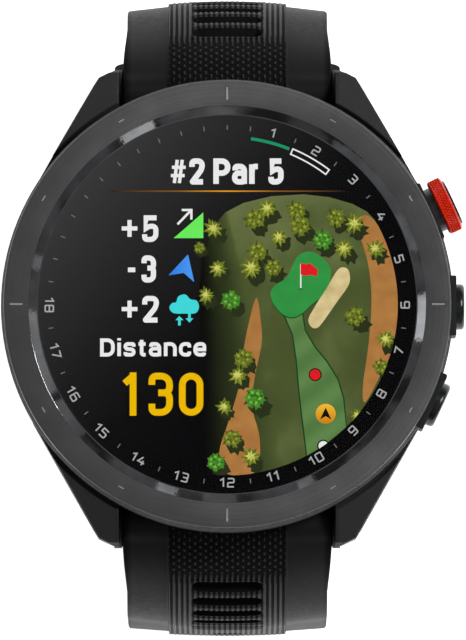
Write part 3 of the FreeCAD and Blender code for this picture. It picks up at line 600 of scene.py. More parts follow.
dial_outline = rounded([(17.92, 11.9), (20.19, 11.9), (20.19, 12.12), (17.92, 12.12)], {3: 0.06})
add_object("dial_face", lathe("dial_face", dial_outline, 240), "case", "dial_print",
           LOOKS["dial_print"], "dial_ring")
INK_LOW, INK_HIGH = 12.1, 12.14
numbers, ticks = Flat(INK_LOW, INK_HIGH), Flat(INK_LOW, INK_HIGH)
for hole in range(1, 19):
    dial_number(numbers, str(hole), 90 - 15 * hole, 18.62, hole <= 5)
for degrees in [82.5 - 15 * k for k in range(18)] + [90.0 + 7.5 * k for k in range(12)]:
    ticks.stroke([polar(18.35, degrees), polar(18.85, degrees)], 0.1)
numbers.piece("dial_numbers", DIAL_INK)
ticks.piece("dial_ticks", DIAL_DIM)


# ---- screen

SCREEN_Z = 11.9
LAYER = 0.012
SCREEN_R = 17.85


def layer(number):
    """A raised sheet for one layer of the lit picture."""
    return Flat(SCREEN_Z + 0.004 + number * LAYER, SCREEN_Z + 0.012 + number * LAYER)


def show(name, sheet, material):
    """Put a layer on the screen, kept inside the display's active area."""
    sheet.moved(inside(SCREEN_R)).piece(name, material, slot="display")


def on_screen(name, shapes, level, material):
    sheet = layer(level)
    for shape in shapes:
        sheet.polygon(shape)
    show(name, sheet, material)


def arc_points(radius, start, end, count):
    return [polar(radius, start + (end - start) * k / (count - 1)) for k in range(count)]


# The course picture: ground, then paths, fairway, green, sand, trees and markers.
ground_edge = [(-2.2, -14), (-2.6, -9), (-2.9, -3), (-2.9, 2), (-2.6, 5.5), (-1.6, 8.0),
               (-0.2, 9.7), (1.7, 10.7), (4.6, 11.4), (8.0, 11.6), (10.7, 11.3), (13.1, 10.6),
               (14.6, 9.8)]
ground_outline = arc_points(SCREEN_R - 0.02, 30, -96, 60) + ground_edge


def ground_value(look):
    """Dark at the picture's left edge, where it fades into the page, and mottled grass beyond, lighter
    towards the top as a painted sheen.
    """
    x, y = look.axis("X"), look.axis("Y")
    edge = look.minus(x, look.plus(look.times(y, -0.02), -2.7))
    fade = look.math("DIVIDE", edge, look.plus(look.times(y, -0.2), 5.0))
    limited = look.math("MINIMUM", look.math("MAXIMUM", fade, 0.0), 1.0)
    # The noise is the grass's mottle; the rise towards the top is a painted sheen.
    grass_mottle_and_sheen = look.plus(look.times(look.noise(0.16, 5), 0.5),
                     look.times(look.math("MAXIMUM", y, 0.0), 0.014))
    return look.times(limited, look.plus(grass_mottle_and_sheen, 0.6))


GROUND = glowing("course_ground",
                 [(0.0, srgb(8, 9, 6)), (0.1, srgb(14, 16, 9)), (0.5, srgb(48, 57, 30)),
                  (0.85, srgb(76, 87, 45)), (1.0, srgb(104, 114, 68))], ground_value)
EARTH = glowing("course_path", [(0.3, srgb(166, 112, 58)), (0.7, srgb(184, 130, 70))],
                lambda look: look.noise(0.6, 4))
GREEN = flat_glow("course_green", 50, 148, 68, speckle=0.08, per_mm=0.7)
FAIRWAY_EDGE = flat_glow("fairway_edge", 26, 70, 30)
SAND = glowing("course_sand", [(0.3, srgb(198, 178, 120)), (0.7, srgb(226, 206, 152))],
               lambda look: look.noise(0.9, 4))


def mowing_stripes(look):
    slanted = look.plus(look.times(look.axis("X"), -0.75), look.axis("Y"))
    wave = look.math("SINE", look.times(slanted, 1.7))
    return look.plus(look.times(wave, 0.35), look.plus(look.times(look.noise(1, 3), 0.3), 0.35))


FAIRWAY = glowing("course_fairway", [(0.0, srgb(80, 118, 64)), (0.5, srgb(90, 128, 70)),
                                     (1.0, srgb(100, 138, 80))], mowing_stripes)

on_screen("course_ground", [ground_outline], 0, GROUND)
left_path = smooth_loop([(3.0, 0.7), (1.9, -3.6), (1.3, -8.2), (0.2, -12.0), (-0.8, -15.2),
                         (-0.6, -17.2), (1.0, -17.9), (3.1, -17.3), (3.4, -14.0), (2.6, -10.6),
                         (2.9, -7.5), (3.6, -4.0), (3.5, -1.6)])
right_path = smooth_loop([(13.4, 8.6), (14.6, 9.4), (16.0, 8.0), (17.3, 5.0), (18.0, 1.0),
                          (17.4, -4.2), (15.8, -7.8), (14.4, -10.2), (14.2, -8.4), (14.8, -4.0),
                          (15.1, 0.5), (14.8, 4.0), (14.1, 6.6)])
on_screen("course_paths", [left_path, right_path], 1, EARTH)
fairway_left = [(5.9, -1.0), (6.8, -3.1), (7.2, -5.7), (7.5, -9.2), (7.9, -12.6), (8.3, -15.8)]
fairway_right = [(12.5, -12.8), (12.2, -9.8), (11.6, -7.8), (10.5, -6.0), (9.2, -4.4),
                 (8.2, -2.7), (7.9, -0.9)]
fairway_shape = fairway_left + [(10.0, -14.8)] + fairway_right
on_screen("course_fairway", [fairway_shape], 1, FAIRWAY)
show("fairway_edges", layer(2).stroke(fairway_left, 0.16).stroke(fairway_right, 0.16),
     FAIRWAY_EDGE)
green_shape = smooth_loop([(7.3, 5.0), (8.6, 5.6), (9.9, 5.0), (10.8, 3.8), (10.7, 2.3),
                           (9.9, 0.9), (8.9, 0.1), (7.8, -0.9), (6.7, -1.3), (5.6, -0.8),
                           (4.7, 0.4), (4.6, 1.5), (5.4, 2.4), (6.3, 3.0)])
on_screen("green_shadow", [[(x, y - 0.12) for x, y in green_shape]], 3, FAIRWAY_EDGE)
on_screen("course_green", [green_shape], 4, GREEN)
sand_shape = smooth_loop([(11.6, 3.7), (12.4, 3.9), (12.8, 3.3), (12.7, 2.1), (11.4, 0.2),
                          (10.0, -1.8), (9.4, -2.4), (8.8, -2.3), (8.5, -1.5), (9.1, -0.3),
                          (10.4, 1.8)])
on_screen("course_sand", [sand_shape], 4, SAND)

SHADOW = flat_glow("tree_shadow", 42, 50, 26)
LEAF_COLOURS = [("dark", (66, 78, 26), 0.35), ("mid", (104, 116, 34), 0.4),
                ("gold", (150, 160, 58), 0.3), ("green", (66, 136, 42), 0.35),
                ("pale", (204, 204, 104), 0.2), ("lime", (122, 186, 66), 0.25)]
LEAVES = {name: flat_glow("leaf_" + name, *levels, speckle=speckle, per_mm=3)
          for name, levels, speckle in LEAF_COLOURS}
randomness = np.random.default_rng(7)


def leaf_star(x, y, size, points, inner, turn):
    """A ragged star of pointed leaves."""
    outline, count = [], points * 2
    for k in range(count):
        if k % 2 == 0:
            reach = size * randomness.uniform(0.75, 1.12)
        else:
            reach = size * (inner * randomness.uniform(0.8, 1.25))
        dx, dy = polar(reach, turn + 360 * (k + randomness.uniform(-0.25, 0.25)) / count)
        outline.append((x + dx, y + dy))
    return outline


# Each tree: x, y, size and kind (b bushy, s star, g green).
TREES = [(-1.4, 8.0, 0.95, "s"), (2.9, 9.0, 1.05, "b"), (4.2, 10.1, 0.95, "s"), (7.3, 9.9, 0.95, "b"), (7.6, 8.3, 1.1, "b"),
         (11.4, 9.1, 0.95, "b"), (13.3, 8.5, 1.0, "s"), (5.4, 7.1, 0.9, "s"), (10.0, 6.8, 1.0, "g"), (12.2, 5.9, 0.95, "s"),
         (15.5, 5.9, 0.9, "s"), (3.2, 5.6, 1.0, "b"), (2.5, 3.9, 1.05, "s"), (4.8, 3.9, 0.9, "b"), (-1.0, 3.8, 0.85, "s"),
         (-2.2, 1.0, 0.8, "s"), (0.4, 0.5, 1.0, "g"), (13.4, -1.2, 1.05, "b"), (16.6, -3.6, 0.9, "s"), (16.1, -6.5, 0.8, "b"),
         (1.7, -5.6, 1.0, "b"), (1.1, -7.4, 0.9, "s"), (2.9, -9.8, 1.1, "g"), (-0.3, -10.7, 0.8, "s"), (0.5, -14.0, 0.95, "b"),
         (2.5, -15.9, 0.95, "s"), (-1.2, -16.5, 0.95, "g"), (13.6, -11.6, 0.7, "s"), (-2.9, 6.0, 0.6, "b")]
TREE_SCALE = 1.22
shadows = []
crowns = {name: [] for name in LEAVES}
KINDS = {"s": ("mid", "gold", "pale"), "b": ("dark", "mid", "gold"), "g": ("dark", "green", "lime")}
for x, y, size, kind in TREES:
    size *= TREE_SCALE
    turn = randomness.uniform(0, 60)
    shadows.append(leaf_star(x + 0.4 * size, y - 0.62 * size, size * 0.95, 8, 0.72, turn))
    base, middle, top = KINDS[kind]
    crowns[base].append(leaf_star(x, y, size, 9, 0.55, turn))
    if kind == "s":
        crowns[middle].append(leaf_star(x, y, size * 0.86, 8, 0.34, turn + 20))
        crowns[top].append(leaf_star(x - 0.06, y + 0.08, size * 0.5, 7, 0.4, turn + 5))
        continue
    for clump in range(6):
        dx, dy = polar(size * 0.55, turn + 60 * clump)
        crowns[middle].append(leaf_star(x + dx, y + dy, size * 0.42, 5, 0.5, turn + 31 * clump))
        crowns[top].append(leaf_star(x + 0.8 * dx - 0.05, y + 0.8 * dy + 0.07, size * 0.2,
                                     4, 0.45, 40 * clump))
    crowns[middle].append(leaf_star(x, y, size * 0.36, 6, 0.6, turn))
on_screen("tree_shadows", shadows, 5, SHADOW)
LEAF_LAYERS = (6, 7, 8, 7, 9, 9)
for name, level in zip(LEAVES, LEAF_LAYERS):
    on_screen("tree_leaves_" + name, crowns[name], level, LEAVES[name])

WHITE = flat_glow("screen_white", 240, 240, 240, speckle=0.02)
BLACK = flat_glow("screen_black", 12, 14, 12)
YELLOW = flat_glow("screen_yellow", 240, 190, 0, speckle=0.02)
SCREEN_RED = flat_glow("screen_red", 226, 28, 36)
LIME = flat_glow("screen_lime", 108, 240, 94, speckle=0.02)
BLUE = glowing("screen_blue", [(0.0, srgb(40, 120, 226)), (1.0, srgb(76, 156, 248))],
               lambda look: look.times(look.plus(look.axis("X"), 6.5), 0.35))
CYAN = flat_glow("screen_cyan", 66, 220, 222, speckle=0.02)
AMBER = glowing("screen_amber", [(0.0, srgb(205, 130, 20)), (1.0, srgb(250, 190, 50))],
                lambda look: look.plus(look.times(look.axis("Y"), 0.5), 6.2))
RULE = glowing("screen_rule",
               [(0.0, srgb(24, 22, 18)), (0.3, srgb(140, 90, 30)), (0.5, srgb(236, 160, 30)),
                (0.7, srgb(140, 90, 30)), (1.0, srgb(20, 20, 20))],
               lambda look: look.plus(look.times(look.axis("X"), 0.04), 0.5))
MINT = flat_glow("screen_mint", 30, 150, 105)

show("flag_pole", layer(6).stroke([(7.7, 4.3), (7.7, 1.75)], 0.14), WHITE)
on_screen("flag_cup", [circle(7.7, 1.7, 0.17, 16, 0.5)], 5, BLACK)
on_screen("flag", [[(7.68, 4.4), (8.3, 4.25), (8.6, 4.4), (9.5, 3.7), (9.4, 3.0), (8.7, 3.15),
                    (8.3, 3.05), (7.68, 3.2)]], 7, SCREEN_RED)
on_screen("red_dot_rim", [circle(9.2, -7.3, 0.68)], 3, BLACK)
on_screen("red_dot", [circle(9.2, -7.3, 0.56)], 4, SCREEN_RED)
on_screen("ball_marker", [circle(10.3, -11.4, 1.05)], 4, AMBER)
on_screen("ball_arrow", [[(10.3, -10.75), (10.9, -12.0), (10.3, -11.65), (9.7, -12.0)]], 5, BLACK)
on_screen("white_dot_rim", [circle(10.05, -14.75, 0.64)], 3, BLACK)
on_screen("white_dot", [circle(10.05, -14.75, 0.5)], 4, WHITE)
on_screen("title_rule", [[(-12.2, 11.86), (12.5, 11.86), (12.5, 12.0), (-12.2, 12.0)]], 2, RULE)
on_screen("rise_triangle", [[(-5.6, 7.0), (-2.5, 7.0), (-2.5, 9.7)]], 9, LIME)
show("rise_arrow", layer(9).stroke([(-5.2, 8.45), (-3.85, 9.85)], 0.24)
     .stroke([(-4.75, 9.95), (-3.75, 9.95), (-3.75, 8.95)], 0.24), WHITE)
on_screen("wind_arrow", [[(-4.1, 5.3), (-3.45, 2.4), (-4.55, 3.35), (-6.15, 3.1)]], 9, BLUE)
cloud = smooth_loop([(-5.6, -0.85), (-6.05, -0.3), (-5.75, 0.2), (-5.35, 0.3), (-5.1, 0.9),
                     (-4.4, 1.1), (-3.85, 0.6), (-3.2, 0.45), (-2.95, -0.2), (-3.3, -0.85),
                     (-4.4, -0.9)])
on_screen("cloud", [cloud], 9, CYAN)


def small_arrow(x, y, way):
    """A short stem with a broad head pointing up or down."""
    neck = y + way * 0.55
    return [(x - 0.14, y), (x + 0.14, y), (x + 0.14, neck), (x + 0.42, neck), (x, y + way * 1.0),
            (x - 0.42, neck), (x - 0.14, neck)]


on_screen("cloud_arrows", [small_arrow(-5.0, -2.15, 1), small_arrow(-3.95, -0.85, -1)], 9, CYAN)
show("hole_bar_played", layer(3).stroke(arc_points(17.6, 81.9, 68.3, 14), 0.32), MINT)
box_path = arc_points(17.74, 67.2, 53.0, 14) + arc_points(17.14, 53.0, 67.2, 14)
show("hole_bar_now", layer(3).stroke(box_path, 0.15, closed=True), WHITE)


# Each letter's inked width in capital heights, and its strokes, written as the digits' are, in
# shares of that width and of the capital height.
LETTERS = {
    "#": (0.70, [[(0.2, -0.06), (0.42, 1.06)], [(0.58, -0.06), (0.8, 1.06)],
                 [(-0.06, 0.3), (0.98, 0.3)], [(0.02, 0.7), (1.06, 0.7)]]),
    "0": (0.56, [[(0, 0, 0.5), (1, 0, 0.5), (1, 1, 0.5), (0, 1, 0.5)]]),
    "1": (0.33, [[(1.0, 1.1), (1.0, -0.09)], [(-0.1, 0.8), (1.0, 1.0)]]),
    "2": (0.58, [[(0, 0.72), (0, 1, 0.5), (1, 1, 0.5), (1, 0.62, 0.3), (0.04, 0.0, 0.05), (1.1, 0.0)]]),
    "3": (0.56, [[(0, 0.76), (0, 1, 0.5), (1, 1, 0.5), (1, 0.54, 0.4), (0.36, 0.54)],
                 [(0.36, 0.54), (1, 0.54, 0.4), (1, 0, 0.5), (0, 0, 0.5), (0, 0.24)]]),
    "5": (0.57, [[(1.06, 1.0), (0.12, 1.0), (0.04, 0.46), (0.3, 0.6, 0.2), (1, 0.62, 0.4),
                  (1, 0, 0.5), (0, 0, 0.5), (0, 0.24)]]),
    "+": (0.62, [[(0.5, 0.12), (0.5, 0.9)], [(-0.12, 0.51), (1.12, 0.51)]]),
    "-": (0.4, [[(-0.2, 0.46), (1.2, 0.46)]]),
    "P": (0.64, [[(0, -0.1), (0, 1), (1, 1, 0.5), (1, 0.42, 0.5), (0, 0.42)]]),
    "D": (0.66, [[(0, 0), (0, 1), (1, 1, 0.8), (1, 0, 0.8)]]),
    "a": (0.58, [[(0.05, 0.55), (0.05, 0.74, 0.4), (0.95, 0.74, 0.4), (0.95, -0.1)],
                 [(0.95, 0.42), (0.0, 0.42, 0.35), (0.0, 0.0, 0.35), (0.95, 0.0, 0.3), (0.95, 0.2)]]),
    "r": (0.4, [[(0, 0.84), (0, -0.1)], [(0, 0.45), (0.15, 0.74, 0.5), (1.15, 0.74)]]),
    "i": (0.2, [[(0.5, 0.84), (0.5, -0.1)], [(0.5, 0.98), (0.5, 1.14)]]),
    "s": (0.54, [[(1, 0.55), (1, 0.74, 0.4), (0, 0.74, 0.4), (0, 0.4, 0.3), (1, 0.36, 0.3),
                  (1, 0, 0.4), (0, 0, 0.4), (0, 0.18)]]),
    "t": (0.4, [[(0.4, 1.02), (0.4, 0.0, 0.4), (1.15, 0.0)], [(-0.2, 0.74), (1.15, 0.74)]]),
    "n": (0.58, [[(0, 0.84), (0, -0.1)], [(0, 0.45), (0, 0.74, 0.45), (1, 0.74, 0.45), (1, -0.1)]]),
    "c": (0.55, [[(1, 0.5), (1, 0.74, 0.45), (0, 0.74, 0.45), (0, 0, 0.45), (1, 0, 0.45), (1, 0.22)]]),
    "e": (0.58, [[(0, 0.36), (1, 0.36), (1, 0.74, 0.45), (0, 0.74, 0.45), (0, 0, 0.45), (0.95, 0, 0.4),
                  (1.0, 0.15)]]),
}
CLOSED_LETTERS = "0D"
THINNER = {"#": 0.6, "+": 0.82, "-": 0.9}
AFTER_ONE, SPACE = 0.14, 0.26


def text_piece(name, text, x, y, width, height, material, heft, gap):
    """Bold upright lettering fitted to a box whose lower left corner is (x, y)."""
    advance = [SPACE if c == " " else LETTERS[c][0] + gap + (AFTER_ONE if c == "1" else 0)
               for c in text]
    stretch = width / (sum(advance) - gap)
    stem = heft * height
    sheet = layer(2)
    for character, step in zip(text, advance):
        share, strokes = LETTERS.get(character, (0, []))
        box = share * stretch - stem
        for order, stroke in enumerate(strokes):
            closed = character in CLOSED_LETTERS and order == 0
            sized = [(x + stem / 2 + point[0] * box, y + stem / 2 + point[1] * (height - stem),
                      *[radius * box * 1.1 for radius in point[2:]]) for point in stroke]
            sheet.stroke(soft_path(sized, closed), stem * THINNER.get(character, 1.0), closed)
        x += step * stretch
    show(name, sheet, material)


for name, *fitted in (
        ("title", "#2 Par 5", -6.1, 12.62, 12.0, 2.75, WHITE, 0.21, 0.06),
        ("plus_5", "+5", -11.15, 6.6, 3.95, 2.8, WHITE, 0.19, 0.13),
        ("minus_3", "-3", -10.55, 2.35, 3.1, 2.85, WHITE, 0.19, 0.18),
        ("plus_2", "+2", -11.15, -1.85, 4.0, 2.8, WHITE, 0.19, 0.13),
        ("distance", "Distance", -13.3, -5.4, 11.1, 1.9, WHITE, 0.2, 0.1),
        ("130", "130", -11.0, -11.6, 8.5, 4.5, YELLOW, 0.155, 0.14)):
    text_piece("text_" + name, *fitted)


# ---- straps

# The outer face as in the CAD: the lug pin's Y and Z, the radius round it and the farthest Y.
PIN = (22.7, 3.6)
END_R, HORIZON, PROUD = 3.2, 32.92, 0.3
STRAP_HALF, BAND_HALF = 11.0, 6.3
LEAD_IN, SLOPE = 0.6, radians(30)
FLOOR = -46.0


def follow(start, heading, moves, distance):
    """Point and heading in the YZ plane, some way along straight runs and right-hand arcs.

    Each move is a (length, 0) run or a (radius, turn) arc.
    """
    (y, z), angle = start, heading
    for size, turn in moves:
        length = size * turn if turn else size
        step = min(distance, length)
        if turn:
            after = angle - step / size
            y += size * (sin(angle) - sin(after))
            z -= size * (cos(angle) - cos(after))
            angle = after
        else:
            y += step * cos(angle)
            z += step * sin(angle)
        distance -= step
        if distance <= 1e-9:
            break
    return y, z, angle


def strap_moves(curl_z, tail):
    """The outer face's path: off the pin's boss, out to the widest reach, and down to the tail."""
    start_y, start_z = PIN[0] + END_R * sin(SLOPE), PIN[1] + END_R * cos(SLOPE)
    radius = (HORIZON - start_y - LEAD_IN * cos(SLOPE)) / (1 - sin(SLOPE))
    turn_z = start_z - LEAD_IN * sin(SLOPE) - radius * cos(SLOPE)
    return [(LEAD_IN, 0), (radius, radians(60)), (turn_z - curl_z, 0)] + tail


NOSE = radians(130)
NOSE_LENGTH = END_R * NOSE
NOSE_HEADING = radians(100)
NOSE_START = (PIN[0] - END_R * sin(NOSE_HEADING), PIN[1] + END_R * cos(NOSE_HEADING))
RIB_PITCH, STUD_PITCH, STUD_START = 0.56, 0.83, 0.4
GROOVES = [6.3 + 2.55 * k for k in range(7)]
GROOVE_REACH, GROOVE_HALF = 2.87, 0.83
RELIEF, ROUND = 0.18, 0.3


def smooth_step(value, low, high):
    t = np.clip((value - low) / (high - low), 0, 1)
    return t * t * (3 - 2 * t)


def studs_and_ribs(x, s):
    """Height of the band's fine relief, 0 in its valleys to 1: studs that run out into ribs."""
    column = np.round(x / RIB_PITCH)
    stagger = np.mod(column, 2) * 0.415
    row = np.round((s - STUD_START - stagger) / STUD_PITCH)
    away = np.hypot(x - column * RIB_PITCH, (s - STUD_START - stagger - row * STUD_PITCH) * 0.7)
    studs = np.clip(1.35 - (away / 0.14) ** 2, 0, 1)
    ribs = np.clip(1.3 * np.cos(2 * np.pi * x / RIB_PITCH) + 0.35, 0, 1)
    ribbed = smooth_step(s, 2.6, 6.2)
    return np.maximum(studs * (1 - ribbed), ribs * ribbed)


def beside_groove(x, s):
    """1 on the rim of a cross groove, falling to 0 a little way off."""
    near = np.zeros_like(x)
    for middle in GROOVES:
        outside = np.hypot(np.maximum(np.abs(x) - GROOVE_REACH, 0), s - middle) - GROOVE_HALF
        near = np.maximum(near, np.clip(1 - np.maximum(outside, 0) / 0.24, 0, 1) ** 2)
    return near


def strap_height(x, s, half_width):
    """Height of the strap's face over its plain outer path, x across and s along it."""
    side = np.abs(x)
    started = smooth_step(s, 0.5, 9.0) * (1 - 0.6 * smooth_step(s, 24, 32))
    band = 0.28 - 0.3 * (side / BAND_HALF) ** 2 * (0.3 + 0.7 * started)
    relief = RELIEF * (1 - 0.6 * smooth_step(s, 9.5, 14)) * (1 - 0.5 * smooth_step(s, 27, 32))
    between_grooves = (side < 3.9) & (s > GROOVES[0] - 1.1) & (s < GROOVES[-1] + 1.1)
    relief = np.where(between_grooves, relief * 0.4, relief)
    relief = np.where(side < BAND_HALF - 0.2, relief, 0)
    band = band - relief * (1 - studs_and_ribs(x, s)) - 0.16 * beside_groove(x, s)
    across = np.clip((side - BAND_HALF) / (half_width - BAND_HALF), 0, 1)
    flank = (-0.02 - smooth_step(s, -1.5, 1.0) * (0.14 + 0.2 * across)
             - started * (0.2 + 0.28 * across))
    to_flank = smooth_step(side, BAND_HALF - 0.16, BAND_HALF - 0.02)
    face = band * (1 - to_flank) + flank * to_flank
    edge = np.clip((side - (half_width - ROUND)) / ROUND, 0, 1)
    return face - ROUND * (1 - np.sqrt(np.clip(1 - edge ** 2, 0, 1)))


def strap_columns():
    """Places across the strap: the band's in millimetres, then the flank's as shares of it."""
    band = np.arange(-BAND_HALF + 0.02, BAND_HALF - 0.01, 0.07)
    band = band[np.abs(band) < BAND_HALF - 0.18]
    joint = [BAND_HALF - back for back in (0.16, 0.12, 0.08, 0.04, 0.02)]
    inner = sorted(set(np.round(np.concatenate([band, joint, [-j for j in joint]]), 4)))
    shares = [0.04, 0.12, 0.25, 0.4, 0.55, 0.7, 0.82, 0.9, 0.93, 0.955, 0.975, 0.99, 0.998]
    return np.array(inner), np.array(shares)


# Material indices: plain rubber, a lighter copy as painted highlight and a darker copy as painted shade.
PLAIN, PAINTED_HIGHLIGHT, PAINTED_SHADE = 0, 1, 2


def strap_envelope(name, moves, length, mirror):
    """A closed solid whose outer face is the strap's finished face; it trims the plain strap."""
    inner, shares = strap_columns()
    stations = np.concatenate([np.arange(-NOSE_LENGTH, 0, 0.22), np.arange(0, 5.0, 0.1),
                               np.arange(5.0, 22.6, 0.12), np.arange(22.6, length, 0.55), [length]])
    path = [(END_R, NOSE)] + moves
    points, deep, raised = [], [], []
    rows, columns = len(stations), len(inner) + 2 * len(shares)
    for s in stations:
        y, z, heading = follow(NOSE_START, NOSE_HEADING, path, s + NOSE_LENGTH)
        half = STRAP_HALF - 0.35 * (min(max((y - 25.3) / 5.3, 0), 1) if s < 17 else 1)
        half = min(half, STRAP_HALF - 0.1 * min(max(y - 26.0, 0), 4.5)) - 0.012
        flank = BAND_HALF + shares * (half - BAND_HALF)
        x = np.concatenate([-flank[::-1], inner, flank])
        along = np.full_like(x, s)
        height = strap_height(x, along, half)
        up_y, up_z = -sin(heading), cos(heading)
        points += [(a, y + h * up_y, z + h * up_z) for a, h in zip(x, height)]
        relief = studs_and_ribs(x, along)
        raised += list(np.where(np.abs(x) < BAND_HALF - 0.15, relief, -1))
        if s < 0:
            share = -s / NOSE_LENGTH
            low_y, low_z = 20.3 - 0.4 * share, -0.56 - 0.6 * share
        else:
            depth = 8.0 - 4.4 * min(s / 20, 1)
            low_y, low_z = y - depth * up_y, z - depth * up_z
        deep += [(x[0], low_y, low_z), (x[-1], low_y, low_z)]
    first = len(points)
    faces = grid_faces(rows, columns)
    for row in range(rows - 1):
        a, b = row * columns, (row + 1) * columns
        c, d = first + 2 * row, first + 2 * row + 2
        faces += [(a, b, d, c), (a + columns - 1, c + 1, d + 1, b + columns - 1),
                  (c, d, d + 1, c + 1)]
    end = first + 2 * rows
    faces += [(*range(columns), first + 1, first),
              (*reversed(range(first - columns, first)), end - 2, end - 1)]
    points = np.array(points + deep)
    if mirror:
        points[:, 1] *= -1
    mesh = mesh_from(name, points, faces)
    # Band faces on the relief's tops take the lighter copy as painted highlight, lower band faces the
    # darker copy as painted shade.
    for face in mesh.polygons[:(rows - 1) * (columns - 1)]:
        level = sum(raised[k] for k in face.vertices) / 4
        face.material_index = PLAIN if level < -0.5 else PAINTED_HIGHLIGHT if level > 0.5 else PAINTED_SHADE
    return mesh


def finished_strap(node, moves, mirror):
    """The CAD strap, trimmed to the finished face."""
    mesh = nodes[node].data.copy()
    welded = bmesh.new()
    welded.from_mesh(mesh)
    bmesh.ops.remove_doubles(welded, verts=welded.verts, dist=1e-7)
    welded.to_mesh(mesh)
    welded.free()
    length = sum(size * turn if turn else size for size, turn in moves)
    strap = loose(node + "_finished", mesh)
    envelope = strap_envelope(node + "_envelope", moves, length, mirror)
    mesh.materials.clear()
    for material in (RUBBER, RUBBER_LIT_COPY, RUBBER_SHADED_COPY):    # in the order PLAIN, PAINTED_HIGHLIGHT, PAINTED_SHADE
        mesh.materials.append(material)
        envelope.materials.append(material)
    # Faces in the cross grooves take the darker copy, as painted shade.
    for face in mesh.polygons:
        in_groove = max(abs(mesh.vertices[k].co.x) for k in face.vertices) < 3.75 * MM
        face.material_index = PAINTED_SHADE if in_groove else PLAIN
    cut_with(strap, loose(node + "_envelope", envelope), "INTERSECT")
    strap.data.shade_smooth()
    strap.data.set_sharp_from_angle(angle=radians(38))
    for face in strap.data.polygons:    # the large plain faces are shaded flat
        corners = [strap.data.vertices[k].co for k in face.vertices]
        longest = max((a - b).length for a, b in zip(corners, corners[1:] + corners[:1]))
        if face.area > 1.2 * MM * longest:
            face.use_smooth = False
    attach(strap, node)
    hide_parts(node)


UPPER_CURL, LOWER_CURL, TAIL_CURL = 17.0, 15.5, 14.0
upper_tail = [(UPPER_CURL, pi / 2), (4.9 + 2.5, 0)]
lower_tail = [(LOWER_CURL, pi / 2), (TAIL_CURL, radians(60)), (12.0 + 1.0, 0)]
upper_curl_z, lower_curl_z = FLOOR + UPPER_CURL + PROUD + 3.3 + 1.4, FLOOR + LOWER_CURL + PROUD
finished_strap("upper_strap", strap_moves(upper_curl_z, upper_tail), False)
finished_strap("lower_strap", strap_moves(lower_curl_z, lower_tail), True)


# ---- buttons

BUTTON_Z = 7.8


def on_button(degrees):
    """Matrix from a button's own axis, +X outward, to the row frame."""
    return Matrix.Translation((0, 0, BUTTON_Z)) @ Matrix.Rotation(radians(degrees), 4, "Z")


def turned_on_x(name, outline, segments, degrees, shape, smooth_degrees):
    """Turn an (x, radius) outline about a button's axis; shape changes the radius by the angle."""
    points = []
    place = on_button(degrees)
    for step in range(segments):
        angle = 2 * pi * step / segments
        for x, r in outline:
            radius = r + shape(x, angle)
            point = Vector((x, radius * cos(angle), radius * sin(angle)))
            points.append(tuple(place @ point))
    return mesh_from(name, points, ring_faces(segments, len(outline)), smooth_degrees)


KNURL_TURNS, KNURL_LEAN, KNURL_DEPTH, COLLAR_MIDDLE = 26, 6.2, 0.17, 25.15


def knurl(x, angle):
    """Two crossed sets of fine grooves on the collar's rim, none on its bevels or bore."""
    if not 24.62 < x < 25.68:
        return 0.0
    turn, lean = KNURL_TURNS * angle, (x - COLLAR_MIDDLE) * KNURL_LEAN
    nearest = min(abs(sin(turn + lean)), abs(sin(turn - lean)))
    return -KNURL_DEPTH * (1 - nearest ** 0.5)


collar_outline = ([(24.4, 1.92), (24.4, 2.72), (24.46, 2.86), (24.6, 2.975)]
                  + [(24.65 + 0.05 * k, 2.98) for k in range(21)]
                  + [(25.7, 2.975), (25.84, 2.86), (25.9, 2.72), (25.9, 1.92)])
add_object("red_collar", turned_on_x("red_collar", collar_outline, 416, 25, knurl, 55),
           "top_button", "button_red", LOOKS["button_red"], "top_button_ring")

FLUTE_TURNS, FLUTE_DEPTH = 9, 0.07


def flutes(x, angle):
    """Shallow flats round the side of a steel cap."""
    if not 23.8 < x < 24.6:
        return 0.0
    return -FLUTE_DEPTH * (1 - abs(cos(FLUTE_TURNS * angle)) ** 0.6)


cap_outline = [(22.75, 2.06), (22.65, 2.4), (23.75, 2.4), (23.8, 2.4), (23.86, 2.4), (24.0, 2.4),
               (24.2, 2.4), (24.4, 2.4), (24.5, 2.395), (24.56, 2.36), (24.7, 2.25), (24.79, 2.1),
               (24.83, 1.9), (24.85, 1.6), (24.78, 1.45), (24.74, 1.2), (24.74, 0.3), (24.0, 0.3),
               (24.0, 2.06)]
for side, degrees in (("middle", 0), ("bottom", -25)):
    name = side + "_cap_shell"
    add_object(name, turned_on_x(name, cap_outline, 288, degrees, flutes, 40),
               side + "_button", "button_steel", LOOKS["button_steel"])


# ---- studio

def softbox(name, place, width, height, power):
    """A rectangular light that faces the watch. Places and sizes are in metres."""
    light = bpy.data.lights.new(name, "AREA")
    light.shape = "RECTANGLE"
    light.size, light.size_y, light.energy = width, height, power
    lamp = loose(name, light)
    lamp.location = place
    lamp.rotation_euler = (-Vector(place)).to_track_quat("-Z", "Y").to_euler()


PAPER_HALF = 900
floor_points = [(x * PAPER_HALF, y * PAPER_HALF, FLOOR - 0.05)
                for x, y in ((-1, -1), (1, -1), (1, 1), (-1, 1))]
floor = loose("floor", mesh_from("floor", floor_points, [(0, 1, 2, 3)]))
PAPER = Look("floor_paper", Roughness=0.9, Emission_Strength=0.95, Emission_Color=(1, 1, 1, 1))
PAPER.mottled("Base Color", 0.02, 3, 0.9, 0.93)
floor.data.materials.append(PAPER.material)

